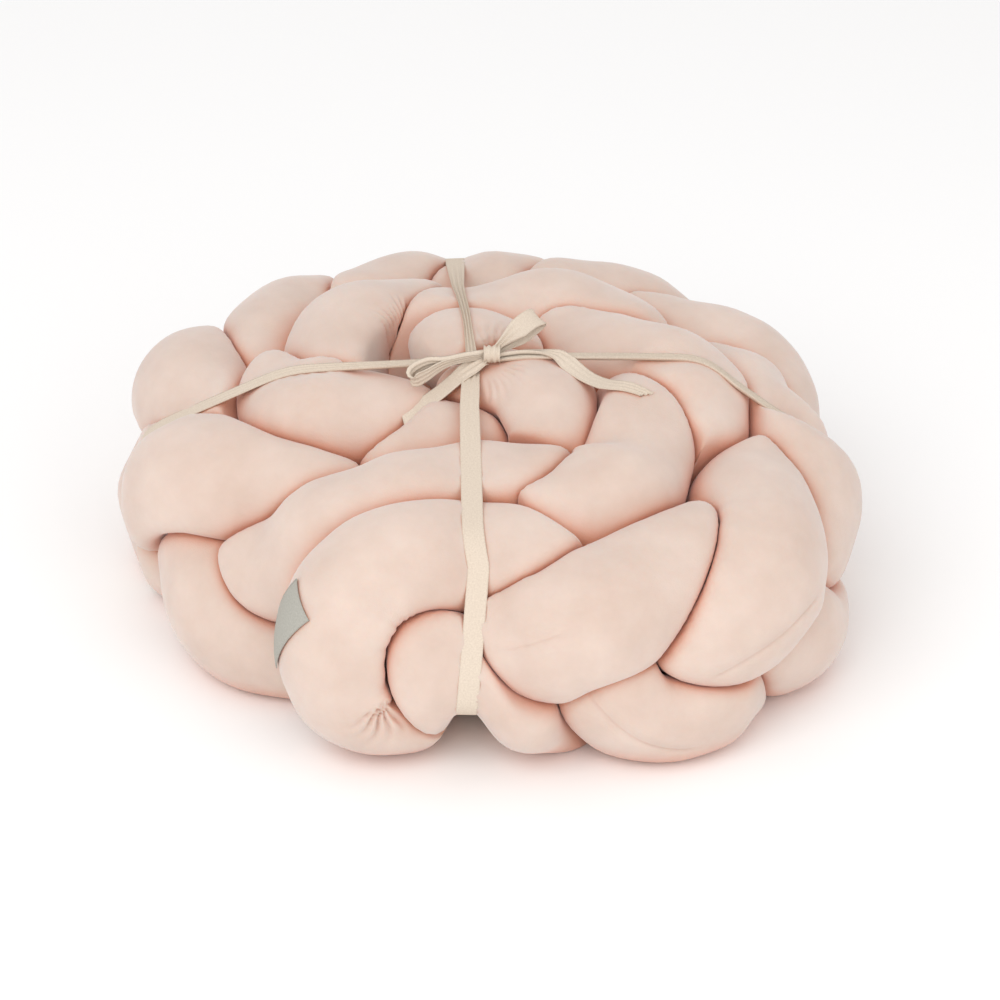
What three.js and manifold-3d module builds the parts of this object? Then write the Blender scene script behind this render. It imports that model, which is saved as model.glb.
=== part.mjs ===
// Crib bumper: two stuffed velvet tubes plaited as three strands, rolled on edge and tied with a tape.
// Millimetres, +Z up, the photo's front toward -Y. The roll rests on z = 0.
import * as THREE from "three";
import { mergeVertices } from "three/addons/utils/BufferGeometryUtils.js";
import Module from "manifold-3d";

const wasm = await Module();
wasm.setup();

// Tubes and plait
const TUBE_RADIUS = 32.5;
const PLAIT_RISE = 35;
const PLAIT_SPREAD = 23;
const AXIS_HEIGHT = 67;
const DEGREES_PER_STEP = 60;
const STRAND_SHIFT = { a: 0, b: -2, c: 2 };
const STRAND_START = { a: -1.2, b: -2, c: -0.9 };
const STRAND_END = 37;
const STEP_SAMPLE = 0.05;
const LEAD_IN_STEPS = 0.7;
const HEADING_STEP = 0.02;

// One row for each lobe on the plait's upper edge, from the outer end of the roll to its middle.
// x, y: the plait's axis seen from above; lift: its rise; lag: how far the lower edge trails, in steps;
// lean: how far the lower edge stands out.
const LOBE_COLUMNS = ["step", "x", "y", "lift", "lag", "lean"];
const LOBES = [
  [-4, -120, -150, 0, 0.3, 12],
  [-2, -29, -155, 0, 0.3, -24],
  [0, 120, -163, -9, 0.8, 0],
  [2, 166, -77, 0, 1.25, 6],
  [4, 178, 9, 0, 0.2, 6],
  [6, 136, 144, 0, 0, 0],
  [8, 50, 187, 0, 0, 0],
  [10, -6, 193, 0, 0, 0],
  [12, -66, 196, 0, 0, 0],
  [14, -158, 147, 0, 0, 0],
  [16, -206, 60, 0, 0, -6],
  [18, -153, -48, 0, 0, 6],
  [20, -30, -104, 9, 0, 24],
  [22, 90, -86, 18, 0, 0],
  [24, 103, 42, 36, 0, 0],
  [26, 8, 104, 31, 0, 0],
  [28, -101, 72, 26, 0, 0],
  [30, -114, -18, 9, 0, 0],
  [32, -17, -26, 14, 0, 0],
  [34, 65, -18, 18, 0, 0],
  [36, -68, 60, 34, 0, 0],
  [38, -72, 16, 30, 0, 0],
];
// The fold that joins strands a and b, and the tucked end of strand c: x, y, z of the tube's middle.
const FOLD = [
  [2, -138, 52],
  [-22, -134, 36],
  [-48, -160, 30],
  [-84, -202, 29],
  [-100, -186, 60],
  [-78, -164, 94],
];
const TUCK = [
  [-78, -142, 76],
  [-62, -158, 84],
  [-40, -166, 86],
  [-8, -162, 76],
];
// The plait is laid out tighter than it ends up, because its runs then push each other apart.
const LAID_SHARE = { plan: 0.9, rise: 0.91 };
const BEND_SAMPLES = 12;
const LEAST_PARTS = 4;
const TINY = 1e-6;
const MERGE_WITHIN = 1e-4;

// Easing, sampling and contact
const EASE_SPACING = 8;
const EASE_PASSES = 140;
const EASE_LEAST = 52;
const EASE_SHARE = 0.2;
const EASE_MOST = 4;
const EASE_HOLD = 0.03;
const LEAST_HEIGHT = 0.85 * TUBE_RADIUS;
const FINE_SPACING = 4;
const FINE_SMOOTHING = 10;
const OWN_RUN = 2.8 * TUBE_RADIUS;
const REACH = 3 * TUBE_RADIUS;
const CONTACT_GAP = 4;
const BEND_SHARE = 0.9;
const BEND_SPAN = 3;
const GIRTH_SHARE = 0.985;
const MOST_SWELL = 1.15;
const GIRTH_HALVINGS = 14;
const RING_SIDES = 14;
const RING_EVERY = 5;
const END_RINGS = [1, 3, 6];
const END_ROUND = 30;
const LEAST_RADIUS = 4;
const ROUNDING_PASSES = 2;

// Tape
const TAPE_WIDTH = 13;
const TAPE_THICKNESS = 1.2;
const TAPE_SINK = 2.5;
const TAPE_CLEARANCE = 0.4;
const GROOVE_OPEN = 6;
const TAPE_JOIN = 4;
const KNOT_AT = { x: -6.5, y: -2 };
const WRAPS = {
  lengthwise: [
    { x: -15, y: -215 },
    { x: -23, y: 240 },
  ],
  crosswise: [
    { x: -199, y: 4 },
    { x: 165, y: 36 },
  ],
};
const CORRIDOR = { length: 320, height: 260 };
const KNOT_HALF = { x: 9, y: 8, z: 5 };
const KNOT_SIDES = { round: 16, rise: 10 };

// Bow: x, y, z from the knot for the loops; x, y from the knot for the tails, which lie on the tubes.
const BOW_LOOPS = [
  [
    [0, 0, 1],
    [12, 9, 10],
    [27, 24, 16],
    [34, 32, 14],
    [32, 33, 9],
    [20, 20, 5],
    [0, 0, -1],
  ],
  [
    [0, 0, 1],
    [-16, -8, 7],
    [-34, -16, 5],
    [-42, -20, -1],
    [-38, -20, -6],
    [-22, -12, -2],
    [0, 0, -1],
  ],
];
const BOW_TAILS = [
  [
    [0, 0],
    [24, 6],
    [49, 4],
    [76, -13],
    [102, -26],
  ],
  [
    [0, 0],
    [-20, -10],
    [-40, -22],
    [-56, -34],
  ],
];
const LOOP_TIP_ROW = 3;
const STRIP_SAMPLES = 8;
const TAIL_SHARES = [-0.5, -0.25, 0, 0.25, 0.5];
const TAIL_CLEARANCE = 1.5;

// Label: on the outer side of the fold
const LABEL = { width: 28, length: 52, thickness: 1.2, stand: 0.1, turnDeg: 35 };
const LABEL_NEAR = [-100, -175, 95];
const LABEL_FACING = [-0.9, -0.3, 0.3];
const LABEL_CELLS = { across: 4, along: 7 };
const LABEL_REACH = 12;

const vec = (p) => new THREE.Vector3(p[0], p[1], p[2]);

// The uniform Catmull-Rom value between p1 and p2.
function blend(p0, p1, p2, p3, u) {
  const first = (p2 - p0) * u;
  const second = (2 * p0 - 5 * p1 + 4 * p2 - p3) * u * u;
  const third = (3 * p1 - p0 - 3 * p2 + p3) * u * u * u;
  return 0.5 * (2 * p1 + first + second + third);
}

// The plait's axis at a step: every column of the lobe table, blended.
function axisAt(step) {
  const last = LOBES.length - 1;
  const gap = LOBES[1][0] - LOBES[0][0];
  const row = Math.min(Math.max(Math.floor((step - LOBES[0][0]) / gap), 0), last - 1);
  const u = (step - LOBES[row][0]) / gap;
  const before = LOBES[Math.max(row - 1, 0)];
  const after = LOBES[Math.min(row + 2, last)];
  const value = {};
  LOBE_COLUMNS.forEach((name, i) => {
    value[name] = blend(before[i], LOBES[row][i], LOBES[row + 1][i], after[i], u);
  });
  return value;
}

// A strand's middle: it climbs and falls once in six steps, and passes outside and inside twice.
function strandPoint(shift, step) {
  const phase = THREE.MathUtils.degToRad(90 + DEGREES_PER_STEP * (step - shift));
  const low = (1 - Math.sin(phase)) / 2;
  const here = axisAt(step);
  const at = step - here.lag * low;
  const p = axisAt(at);
  const ahead = axisAt(at + HEADING_STEP);
  const behind = axisAt(at - HEADING_STEP);
  const along = new THREE.Vector2(ahead.x - behind.x, ahead.y - behind.y).normalize();
  const out = PLAIT_SPREAD * Math.sin(2 * phase) + here.lean * low;
  const z = AXIS_HEIGHT + p.lift + PLAIT_RISE * Math.sin(phase);
  return new THREE.Vector3(p.x + out * along.y, p.y - out * along.x, z);
}

function strandRun(name) {
  const count = Math.round((STRAND_END - STRAND_START[name]) / STEP_SAMPLE);
  const run = [];
  for (let i = 0; i < count; i++) {
    run.push(strandPoint(STRAND_SHIFT[name], STRAND_START[name] + i * STEP_SAMPLE));
  }
  return run;
}

// A smooth bend through points, from the second up to the last but one.
function bendThrough(points, samples) {
  const bend = [];
  for (let i = 1; i < points.length - 2; i++) {
    const [p0, p1, p2, p3] = points.slice(i - 1, i + 3);
    for (let k = 0; k < samples; k++) {
      const u = k / samples;
      const x = blend(p0.x, p1.x, p2.x, p3.x, u);
      const y = blend(p0.y, p1.y, p2.y, p3.y, u);
      const z = blend(p0.z, p1.z, p2.z, p3.z, u);
      bend.push(new THREE.Vector3(x, y, z));
    }
  }
  return bend;
}

// The point as far beyond an end as the next point is before it.
function beyond(end, next) {
  return end.clone().multiplyScalar(2).sub(next);
}

function resample(points, spacing) {
  const lengths = [0];
  for (let i = 1; i < points.length; i++) {
    lengths.push(lengths[i - 1] + points[i].distanceTo(points[i - 1]));
  }
  const total = lengths[lengths.length - 1];
  const count = Math.max(Math.round(total / spacing), LEAST_PARTS);
  const even = [];
  let seg = 0;
  for (let i = 0; i <= count; i++) {
    const want = (total * i) / count;
    while (seg < points.length - 2 && lengths[seg + 1] < want) seg++;
    const span = Math.max(lengths[seg + 1] - lengths[seg], TINY);
    even.push(points[seg].clone().lerp(points[seg + 1], Math.min((want - lengths[seg]) / span, 1)));
  }
  return even;
}

// Each point but the two ends moves half way to the middle of its neighbours, over and over.
function smooth(points, times) {
  let now = points;
  for (let t = 0; t < times; t++) {
    now = now.map((p, i) => {
      if (i === 0 || i === now.length - 1) return p.clone();
      const between = now[i - 1].clone().lerp(now[i + 1], 1 / 2);
      return between.lerp(p, 1 / 2);
    });
  }
  return now;
}

// How far a point is pushed by the runs closer to it than two pressed tubes can lie.
function pushAway(p, paths, isOwn) {
  const push = new THREE.Vector3();
  const gap = new THREE.Vector3();
  let count = 0;
  paths.forEach((path, m) =>
    path.forEach((q, j) => {
      const d = p.distanceTo(q);
      if (d >= EASE_LEAST || isOwn(m, j)) return;
      push.addScaledVector(gap.subVectors(p, q), EASE_LEAST / Math.max(d, TINY) - 1);
      count++;
    }),
  );
  return push.multiplyScalar(EASE_SHARE / Math.sqrt(Math.max(count, 1))).clampLength(0, EASE_MOST);
}

// Runs that lie too close are pushed apart a little at a time, while each is drawn back to its own place.
function ease(paths) {
  let now = paths;
  for (let pass = 0; pass < EASE_PASSES; pass++) {
    const moved = now.map((path, k) =>
      path.map((p, i) => {
        const isOwn = (m, j) => m === k && Math.abs(i - j) * EASE_SPACING < OWN_RUN;
        const q = p.clone().add(pushAway(p, now, isOwn)).lerp(paths[k][i], EASE_HOLD);
        return q.setZ(Math.max(q.z, LEAST_HEIGHT));
      }),
    );
    now = moved.map((path) => smooth(path, 1));
  }
  return now;
}

// Tangents and a pair of sideways directions carried along the path without twist.
function framesOf(path) {
  const frames = [];
  let side = new THREE.Vector3(0, 0, 1);
  path.forEach((p, i) => {
    const along = headingAt(path, i);
    side = side.clone().addScaledVector(along, -side.dot(along)).normalize();
    frames.push({ along, side, across: along.clone().cross(side) });
  });
  return frames;
}

function bendVector(path, i) {
  const span = Math.min(BEND_SPAN, i, path.length - 1 - i);
  if (span < 1) return new THREE.Vector3();
  const bend = path[i + span].clone().add(path[i - span]).addScaledVector(path[i], -2);
  return bend.multiplyScalar(1 / (span * FINE_SPACING) ** 2);
}

// How far the tube may reach from its middle in each direction: half way to any other run,
// down to the floor, and short of the centre of its own bend.
function reachOf(paths, k, i, frame) {
  const c = paths[k][i];
  const bend = bendVector(paths[k], i);
  const rays = [];
  for (let j = 0; j < RING_SIDES; j++) {
    const angle = (2 * Math.PI * j) / RING_SIDES;
    const dir = frame.side.clone().multiplyScalar(Math.cos(angle));
    dir.addScaledVector(frame.across, Math.sin(angle));
    let most = Infinity;
    if (dir.z < -TINY) most = c.z / -dir.z;
    const inward = dir.dot(bend);
    if (inward > TINY) most = Math.min(most, BEND_SHARE / inward);
    rays.push({ dir, most });
  }
  paths.forEach((other, m) => {
    for (let s = 0; s < other.length; s += 2) {
      if (m === k && Math.abs(s - i) * FINE_SPACING <= OWN_RUN) continue;
      const to = other[s].clone().sub(c);
      const d = to.length();
      if (d > REACH) continue;
      const half = (d * d - CONTACT_GAP * d) / 2;
      rays.forEach((ray) => {
        const lean = ray.dir.dot(to);
        if (lean > TINY) ray.most = Math.min(ray.most, half / lean);
      });
    }
  });
  return rays;
}

function girthOf(rays, radius) {
  const ends = rays.map((ray) => ray.dir.clone().multiplyScalar(Math.min(ray.most, radius)));
  return ends.reduce((sum, p, j) => sum + p.distanceTo(ends[(j + 1) % ends.length]), 0);
}

// The cloth keeps its girth: a section pressed on one side swells on the free sides.
function ringAt(paths, k, i, frame) {
  const rays = reachOf(paths, k, i, frame);
  const want = 2 * Math.PI * TUBE_RADIUS * GIRTH_SHARE;
  let low = 1;
  let high = MOST_SWELL;
  for (let t = 0; t < GIRTH_HALVINGS; t++) {
    const mid = (low + high) / 2;
    if (girthOf(rays, mid * TUBE_RADIUS) < want) low = mid;
    else high = mid;
  }
  const fromEnd = Math.min(i, paths[k].length - 1 - i) * FINE_SPACING;
  const shrink = Math.sqrt(1 - Math.max(1 - fromEnd / END_ROUND, 0) ** 2);
  return rays.map((ray) => {
    const radius = Math.max(Math.min(ray.most, low * TUBE_RADIUS), LEAST_RADIUS) * shrink;
    return { middle: paths[k][i], dir: ray.dir, radius };
  });
}

// Edges of contact are rounded off: a spoke longer than the mean of the four beside it is cut back to it.
function roundEdges(rings) {
  for (let pass = 0; pass < ROUNDING_PASSES; pass++) {
    const before = rings.map((ring) => ring.map((v) => v.radius));
    for (let r = 1; r < rings.length - 1; r++) {
      rings[r].forEach((v, j) => {
        const turn = before[r][(j + 1) % RING_SIDES] + before[r][(j + RING_SIDES - 1) % RING_SIDES];
        const mean = (turn + before[r - 1][j] + before[r + 1][j]) / 4;
        v.radius = Math.min(before[r][j], mean);
      });
    }
  }
}

// The path's points that get a ring: close together at the round ends, evenly apart between them.
function ringIndices(length) {
  const last = length - 1;
  const endRun = END_RINGS[END_RINGS.length - 1];
  const picked = new Set(END_RINGS);
  for (let i = endRun + RING_EVERY; i < last - Math.max(endRun, RING_EVERY); i += RING_EVERY) {
    picked.add(i);
  }
  END_RINGS.forEach((i) => picked.add(last - i));
  return [...picked].sort((a, b) => a - b);
}

function solidOfArrays(vertProperties, triVerts) {
  return new wasm.Manifold(new wasm.Mesh({ numProp: 3, vertProperties, triVerts }));
}

// A closed solid from points and triangles, with its faces turned outward.
function solidFrom(points, faces) {
  const places = new Float32Array(points.flatMap((p) => [p.x, p.y, p.z]));
  const solid = solidOfArrays(places, new Uint32Array(faces.flat()));
  if (solid.volume() > 0) return solid;
  return solidOfArrays(places, new Uint32Array(faces.flatMap(([a, b, c]) => [a, c, b])));
}

// A three.js geometry as a solid that can be joined and cut.
function solidOf(geometry) {
  geometry.deleteAttribute("normal");
  geometry.deleteAttribute("uv");
  const merged = mergeVertices(geometry, MERGE_WITHIN);
  const places = new Float32Array(merged.attributes.position.array);
  return solidOfArrays(places, new Uint32Array(merged.index.array));
}

function joined(solids) {
  return solids.reduce((a, b) => a.add(b));
}

function tubeSolid(paths, k) {
  const path = paths[k];
  const frames = framesOf(path);
  const rings = ringIndices(path.length).map((i) => ringAt(paths, k, i, frames[i]));
  roundEdges(rings);
  const points = rings.flatMap((ring) =>
    ring.map((v) => v.middle.clone().addScaledVector(v.dir, v.radius)),
  );
  const faces = [];
  for (let r = 0; r < rings.length - 1; r++) {
    for (let j = 0; j < RING_SIDES; j++) {
      const a = r * RING_SIDES + j;
      const b = r * RING_SIDES + ((j + 1) % RING_SIDES);
      faces.push([a, b, b + RING_SIDES], [a, b + RING_SIDES, a + RING_SIDES]);
    }
  }
  const lastRing = (rings.length - 1) * RING_SIDES;
  const startPole = points.push(path[0].clone()) - 1;
  const endPole = points.push(path[path.length - 1].clone()) - 1;
  for (let j = 0; j < RING_SIDES; j++) {
    const next = (j + 1) % RING_SIDES;
    faces.push([startPole, next, j], [endPole, lastRing + j, lastRing + next]);
  }
  return solidFrom(points, faces);
}

function tubePaths() {
  const a = strandRun("a");
  const b = strandRun("b");
  const c = strandRun("c");
  const lead = Math.round(LEAD_IN_STEPS / STEP_SAMPLE);
  const fold = bendThrough([a[lead], a[0], ...FOLD.map(vec), b[0], b[lead]], BEND_SAMPLES).slice(1);
  const tuck = TUCK.map(vec);
  const end = bendThrough([beyond(tuck[0], tuck[1]), ...tuck, c[0], c[lead]], BEND_SAMPLES);
  const laid = new THREE.Vector3(LAID_SHARE.plan, LAID_SHARE.plan, LAID_SHARE.rise);
  const runs = [[...a.reverse(), ...fold, ...b], [...end, ...c]];
  const raw = runs.map((run) => resample(run, EASE_SPACING).map((p) => p.multiply(laid)));
  const eased = ease(raw);
  return eased.map((run) => resample(smooth(resample(run, FINE_SPACING), FINE_SMOOTHING), FINE_SPACING));
}

// A strip of tape along a row of stations: each has its place, its width direction and its outward one.
function stripSolid(stations, width, thickness, closed) {
  const points = [];
  stations.forEach(({ at, across, out }) => {
    [
      [-1, -1],
      [1, -1],
      [1, 1],
      [-1, 1],
    ].forEach(([w, t]) => {
      const p = at.clone().addScaledVector(across, (w * width) / 2);
      points.push(p.addScaledVector(out, (t * thickness) / 2));
    });
  });
  const faces = [];
  const count = stations.length;
  for (let s = 0; s < (closed ? count : count - 1); s++) {
    for (let q = 0; q < 4; q++) {
      const a = 4 * s + q;
      const b = 4 * s + ((q + 1) % 4);
      const a2 = 4 * ((s + 1) % count) + q;
      const b2 = 4 * ((s + 1) % count) + ((q + 1) % 4);
      faces.push([a, b, b2], [a, b2, a2]);
    }
  }
  if (!closed) {
    const e = 4 * (count - 1);
    faces.push([0, 2, 1], [0, 3, 2], [e, e + 1, e + 2], [e, e + 2, e + 3]);
  }
  return solidFrom(points, faces);
}

// The outline of flat points, anticlockwise.
function convexHull(points) {
  const sorted = [...points].sort((a, b) => a.x - b.x || a.y - b.y);
  const half = (list) => {
    const chain = [];
    list.forEach((p) => {
      while (chain.length > 1) {
        const [a, b] = chain.slice(-2);
        if ((b.x - a.x) * (p.y - a.y) - (b.y - a.y) * (p.x - a.x) > 0) break;
        chain.pop();
      }
      chain.push(p);
    });
    chain.pop();
    return chain;
  };
  return [...half(sorted), ...half(sorted.reverse())];
}

// The points of a solid inside the corridor under one half of a wrap, as distance from the knot and height.
function corridorPoints(solid, toward) {
  const angle = Math.atan2(toward.y - KNOT_AT.y, toward.x - KNOT_AT.x);
  const box = new THREE.BoxGeometry(CORRIDOR.length, TAPE_WIDTH, CORRIDOR.height)
    .translate(CORRIDOR.length / 2, 0, CORRIDOR.height / 2 - 1)
    .rotateZ(angle)
    .translate(KNOT_AT.x, KNOT_AT.y, 0);
  const mesh = solid.intersect(solidOf(box)).getMesh();
  const found = [];
  for (let i = 0; i < mesh.numVert; i++) {
    const x = mesh.vertProperties[mesh.numProp * i] - KNOT_AT.x;
    const y = mesh.vertProperties[mesh.numProp * i + 1] - KNOT_AT.y;
    const z = mesh.vertProperties[mesh.numProp * i + 2];
    found.push(new THREE.Vector2(x * Math.cos(angle) + y * Math.sin(angle), z));
  }
  return found;
}

function joinClose(loop) {
  const kept = [];
  loop.forEach((p) => {
    if (!kept.length || p.distanceTo(kept[kept.length - 1]) > TAPE_JOIN) kept.push(p);
  });
  if (kept[0].distanceTo(kept[kept.length - 1]) < TAPE_JOIN) kept.pop();
  return kept;
}

// Where a closed loop crosses the knot's upright line, so that the two halves of a wrap meet there.
function withCrossings(loop) {
  const full = [];
  loop.forEach((p, i) => {
    const q = loop[(i + 1) % loop.length];
    full.push(p);
    if (p.x * q.x < 0) full.push(p.clone().lerp(q, p.x / (p.x - q.x)));
  });
  return full;
}

// One wrap of tape round the roll: taut over the tubes, sunk a little into them.
function wrapLoop(solid, ends, overHeight) {
  const left = corridorPoints(solid, ends[0]).map((p) => new THREE.Vector2(-p.x, p.y));
  const right = corridorPoints(solid, ends[1]);
  const seed = overHeight > 0 ? [new THREE.Vector2(0, overHeight)] : [];
  const loop = withCrossings(joinClose(convexHull([...left, ...right, ...seed])));
  return loop.map((p, i) => {
    const before = loop[(i + loop.length - 1) % loop.length];
    const after = loop[(i + 1) % loop.length];
    const along = after.clone().sub(before).normalize();
    const out = new THREE.Vector2(along.y, -along.x);
    return { flat: p.clone().addScaledVector(out, -TAPE_SINK + TAPE_THICKNESS / 2), out };
  });
}

function topOf(loop) {
  const crossing = loop.filter((s) => Math.abs(s.flat.x) < TAPE_SINK);
  return Math.max(...crossing.map((s) => s.flat.y));
}

function wrapStations(loop, ends) {
  const dirs = ends.map((e) => new THREE.Vector2(e.x - KNOT_AT.x, e.y - KNOT_AT.y).normalize());
  const both = dirs[1].clone().sub(dirs[0]).normalize();
  return loop.map(({ flat, out }) => {
    const level = Math.abs(flat.x) < TAPE_SINK ? both : flat.x < 0 ? dirs[0].clone().negate() : dirs[1];
    return {
      at: new THREE.Vector3(KNOT_AT.x + level.x * flat.x, KNOT_AT.y + level.y * flat.x, flat.y),
      across: new THREE.Vector3(-level.y, level.x, 0),
      out: new THREE.Vector3(level.x * out.x, level.y * out.x, out.y),
    };
  });
}

// The height of the top of a solid over a place seen from above.
function topAbove(mesh, x, y) {
  let top = 0;
  const corner = (v) => {
    const at = mesh.numProp * mesh.triVerts[v];
    return [mesh.vertProperties[at], mesh.vertProperties[at + 1], mesh.vertProperties[at + 2]];
  };
  for (let t = 0; t < mesh.triVerts.length; t += 3) {
    const [a, b, c] = [corner(t), corner(t + 1), corner(t + 2)];
    const area = (b[0] - a[0]) * (c[1] - a[1]) - (b[1] - a[1]) * (c[0] - a[0]);
    if (area < TINY) continue;
    const u = ((b[0] - x) * (c[1] - y) - (b[1] - y) * (c[0] - x)) / area;
    const v = ((c[0] - x) * (a[1] - y) - (c[1] - y) * (a[0] - x)) / area;
    const w = 1 - u - v;
    if (u < 0 || v < 0 || w < 0) continue;
    top = Math.max(top, u * a[2] + v * b[2] + w * c[2]);
  }
  return top;
}

// A smooth path through all the points, ends included.
function pathThrough(points) {
  const last = points.length - 1;
  const before = beyond(points[0], points[1]);
  const after = beyond(points[last], points[last - 1]);
  return [...bendThrough([before, ...points, after], STRIP_SAMPLES), points[last].clone()];
}

function headingAt(path, i) {
  const ahead = path[Math.min(i + 1, path.length - 1)];
  const behind = path[Math.max(i - 1, 0)];
  return ahead.clone().sub(behind).normalize();
}

// A bow loop: the tape goes out from the knot to its tip and back, edge level.
function loopSolid(rows, knot) {
  const path = pathThrough(rows.map((r) => vec(r).add(knot)));
  const reach = vec(rows[LOOP_TIP_ROW]).setZ(0).normalize();
  const across = new THREE.Vector3(-reach.y, reach.x, 0);
  const stations = path.map((at, i) => {
    return { at, across, out: across.clone().cross(headingAt(path, i)).normalize() };
  });
  return stripSolid(stations, TAPE_WIDTH, TAPE_THICKNESS, false);
}

// A free end of the tape, taut from the knot over the highest tubes under it.
function tailSolid(rows, knot, mesh) {
  const plan = pathThrough(rows.map((r) => new THREE.Vector3(r[0] + KNOT_AT.x, r[1] + KNOT_AT.y, 0)));
  const sides = plan.map((p, i) => {
    const along = headingAt(plan, i);
    return new THREE.Vector3(-along.y, along.x, 0);
  });
  const tops = plan.map((p, i) => {
    const edges = TAIL_SHARES.map((share) => {
      const q = p.clone().addScaledVector(sides[i], share * TAPE_WIDTH);
      return topAbove(mesh, q.x, q.y);
    });
    return Math.max(...edges) + TAIL_CLEARANCE + TAPE_THICKNESS;
  });
  const lengths = [0];
  plan.forEach((p, i) => {
    if (i) lengths.push(lengths[i - 1] + p.distanceTo(plan[i - 1]));
  });
  const heights = plan.map((p, i) => new THREE.Vector2(lengths[i], tops[i]));
  heights[0].y = knot.z;
  const floor = [new THREE.Vector2(0, 0), new THREE.Vector2(lengths[lengths.length - 1], 0)];
  const hull = convexHull([...heights, ...floor]).filter((p) => p.y > 0);
  hull.sort((a, b) => a.x - b.x);
  const stations = plan.map((p, i) => {
    let seg = 0;
    while (seg < hull.length - 2 && hull[seg + 1].x < lengths[i]) seg++;
    const share = (lengths[i] - hull[seg].x) / Math.max(hull[seg + 1].x - hull[seg].x, TINY);
    const z = hull[seg].y + (hull[seg + 1].y - hull[seg].y) * Math.min(Math.max(share, 0), 1);
    return { at: p.clone().setZ(z), across: sides[i], out: new THREE.Vector3(0, 0, 1) };
  });
  return stripSolid(stations, TAPE_WIDTH, TAPE_THICKNESS, false);
}

function largestBody(solid) {
  return solid.decompose().reduce((a, b) => (a.volume() > b.volume() ? a : b));
}

// The widest that rings and spokes next to a place on the tube reach: a place among the rings, and an angle.
function radiusNear(rings, along, angle) {
  const spoke = Math.floor((angle * RING_SIDES) / (2 * Math.PI));
  let radius = 0;
  for (let i = Math.floor(along) - RING_EVERY; i <= Math.ceil(along) + RING_EVERY; i++) {
    [spoke, spoke + 1].forEach((j) => {
      radius = Math.max(radius, rings[i][THREE.MathUtils.euclideanModulo(j, RING_SIDES)].radius);
    });
  }
  return radius;
}

// The label follows the tube's round, standing just clear of it.
function labelSolid(paths) {
  const path = paths[0];
  const frames = framesOf(path);
  const near = vec(LABEL_NEAR);
  let middle = 0;
  path.forEach((p, i) => {
    if (p.distanceTo(near) < path[middle].distanceTo(near)) middle = i;
  });
  const first = middle - LABEL_REACH;
  const rings = [];
  for (let i = first; i <= middle + LABEL_REACH; i++) rings.push(ringAt(paths, 0, i, frames[i]));
  const widest = Math.max(...rings.flat().map((v) => v.radius));
  const facing = vec(LABEL_FACING).normalize();
  const stretch = 1 - widest * bendVector(path, middle).dot(facing);
  const base = Math.atan2(facing.dot(frames[middle].across), facing.dot(frames[middle].side));
  const turn = THREE.MathUtils.degToRad(LABEL.turnDeg);
  const rows = LABEL_CELLS.along + 1;
  const columns = LABEL_CELLS.across + 1;
  const points = [];
  [LABEL.stand, LABEL.stand + LABEL.thickness].forEach((off) => {
    for (let r = 0; r < rows; r++) {
      for (let c = 0; c < columns; c++) {
        const l = (r / LABEL_CELLS.along - 0.5) * LABEL.length;
        const w = (c / LABEL_CELLS.across - 0.5) * LABEL.width;
        const along = middle + (l * Math.cos(turn) - w * Math.sin(turn)) / (FINE_SPACING * stretch);
        const angle = base + (l * Math.sin(turn) + w * Math.cos(turn)) / widest;
        const radius = radiusNear(rings, along - first, angle);
        const i = Math.floor(along);
        const at = path[i].clone().lerp(path[i + 1], along - i);
        const side = frames[i].side.clone().lerp(frames[i + 1].side, along - i).normalize();
        const across = frames[i].across.clone().lerp(frames[i + 1].across, along - i).normalize();
        at.addScaledVector(side, Math.cos(angle) * (radius + off));
        points.push(at.addScaledVector(across, Math.sin(angle) * (radius + off)));
      }
    }
  });
  const layer = rows * columns;
  const faces = [];
  const quad = (a, b, c, d) => faces.push([a, b, c], [a, c, d]);
  for (let r = 0; r < LABEL_CELLS.along; r++) {
    for (let c = 0; c < LABEL_CELLS.across; c++) {
      const a = r * columns + c;
      quad(a, a + 1, a + columns + 1, a + columns);
      quad(layer + a, layer + a + columns, layer + a + columns + 1, layer + a + 1);
    }
  }
  for (let r = 0; r < LABEL_CELLS.along; r++) {
    const a = r * columns;
    const b = a + LABEL_CELLS.across;
    quad(a, a + columns, layer + a + columns, layer + a);
    quad(b + columns, b, layer + b, layer + b + columns);
  }
  for (let c = 0; c < LABEL_CELLS.across; c++) {
    const b = LABEL_CELLS.along * columns + c;
    quad(c + 1, c, layer + c, layer + c + 1);
    quad(b, b + 1, layer + b + 1, layer + b);
  }
  return solidFrom(points, faces);
}

function meshOf(solid, name, material) {
  const made = solid.getMesh();
  const position = new Float32Array(made.numVert * 3);
  for (let i = 0; i < made.numVert; i++) {
    position.set(made.vertProperties.subarray(made.numProp * i, made.numProp * i + 3), 3 * i);
  }
  const geometry = new THREE.BufferGeometry();
  geometry.setAttribute("position", new THREE.BufferAttribute(position, 3));
  geometry.setIndex(new THREE.BufferAttribute(new Uint32Array(made.triVerts), 1));
  geometry.computeVertexNormals();
  const mesh = new THREE.Mesh(geometry, material);
  mesh.name = name;
  return mesh;
}

const velvet = new THREE.MeshStandardMaterial({ color: "#e9cfc3", roughness: 0.9 });
const cotton = new THREE.MeshStandardMaterial({ color: "#d9cbb2", roughness: 0.9 });
const woven = new THREE.MeshStandardMaterial({ color: "#b9bcae", roughness: 0.9 });

const paths = tubePaths();
let tubes = [tubeSolid(paths, 0), tubeSolid(paths, 1)];
const pair = joined(tubes);

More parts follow.
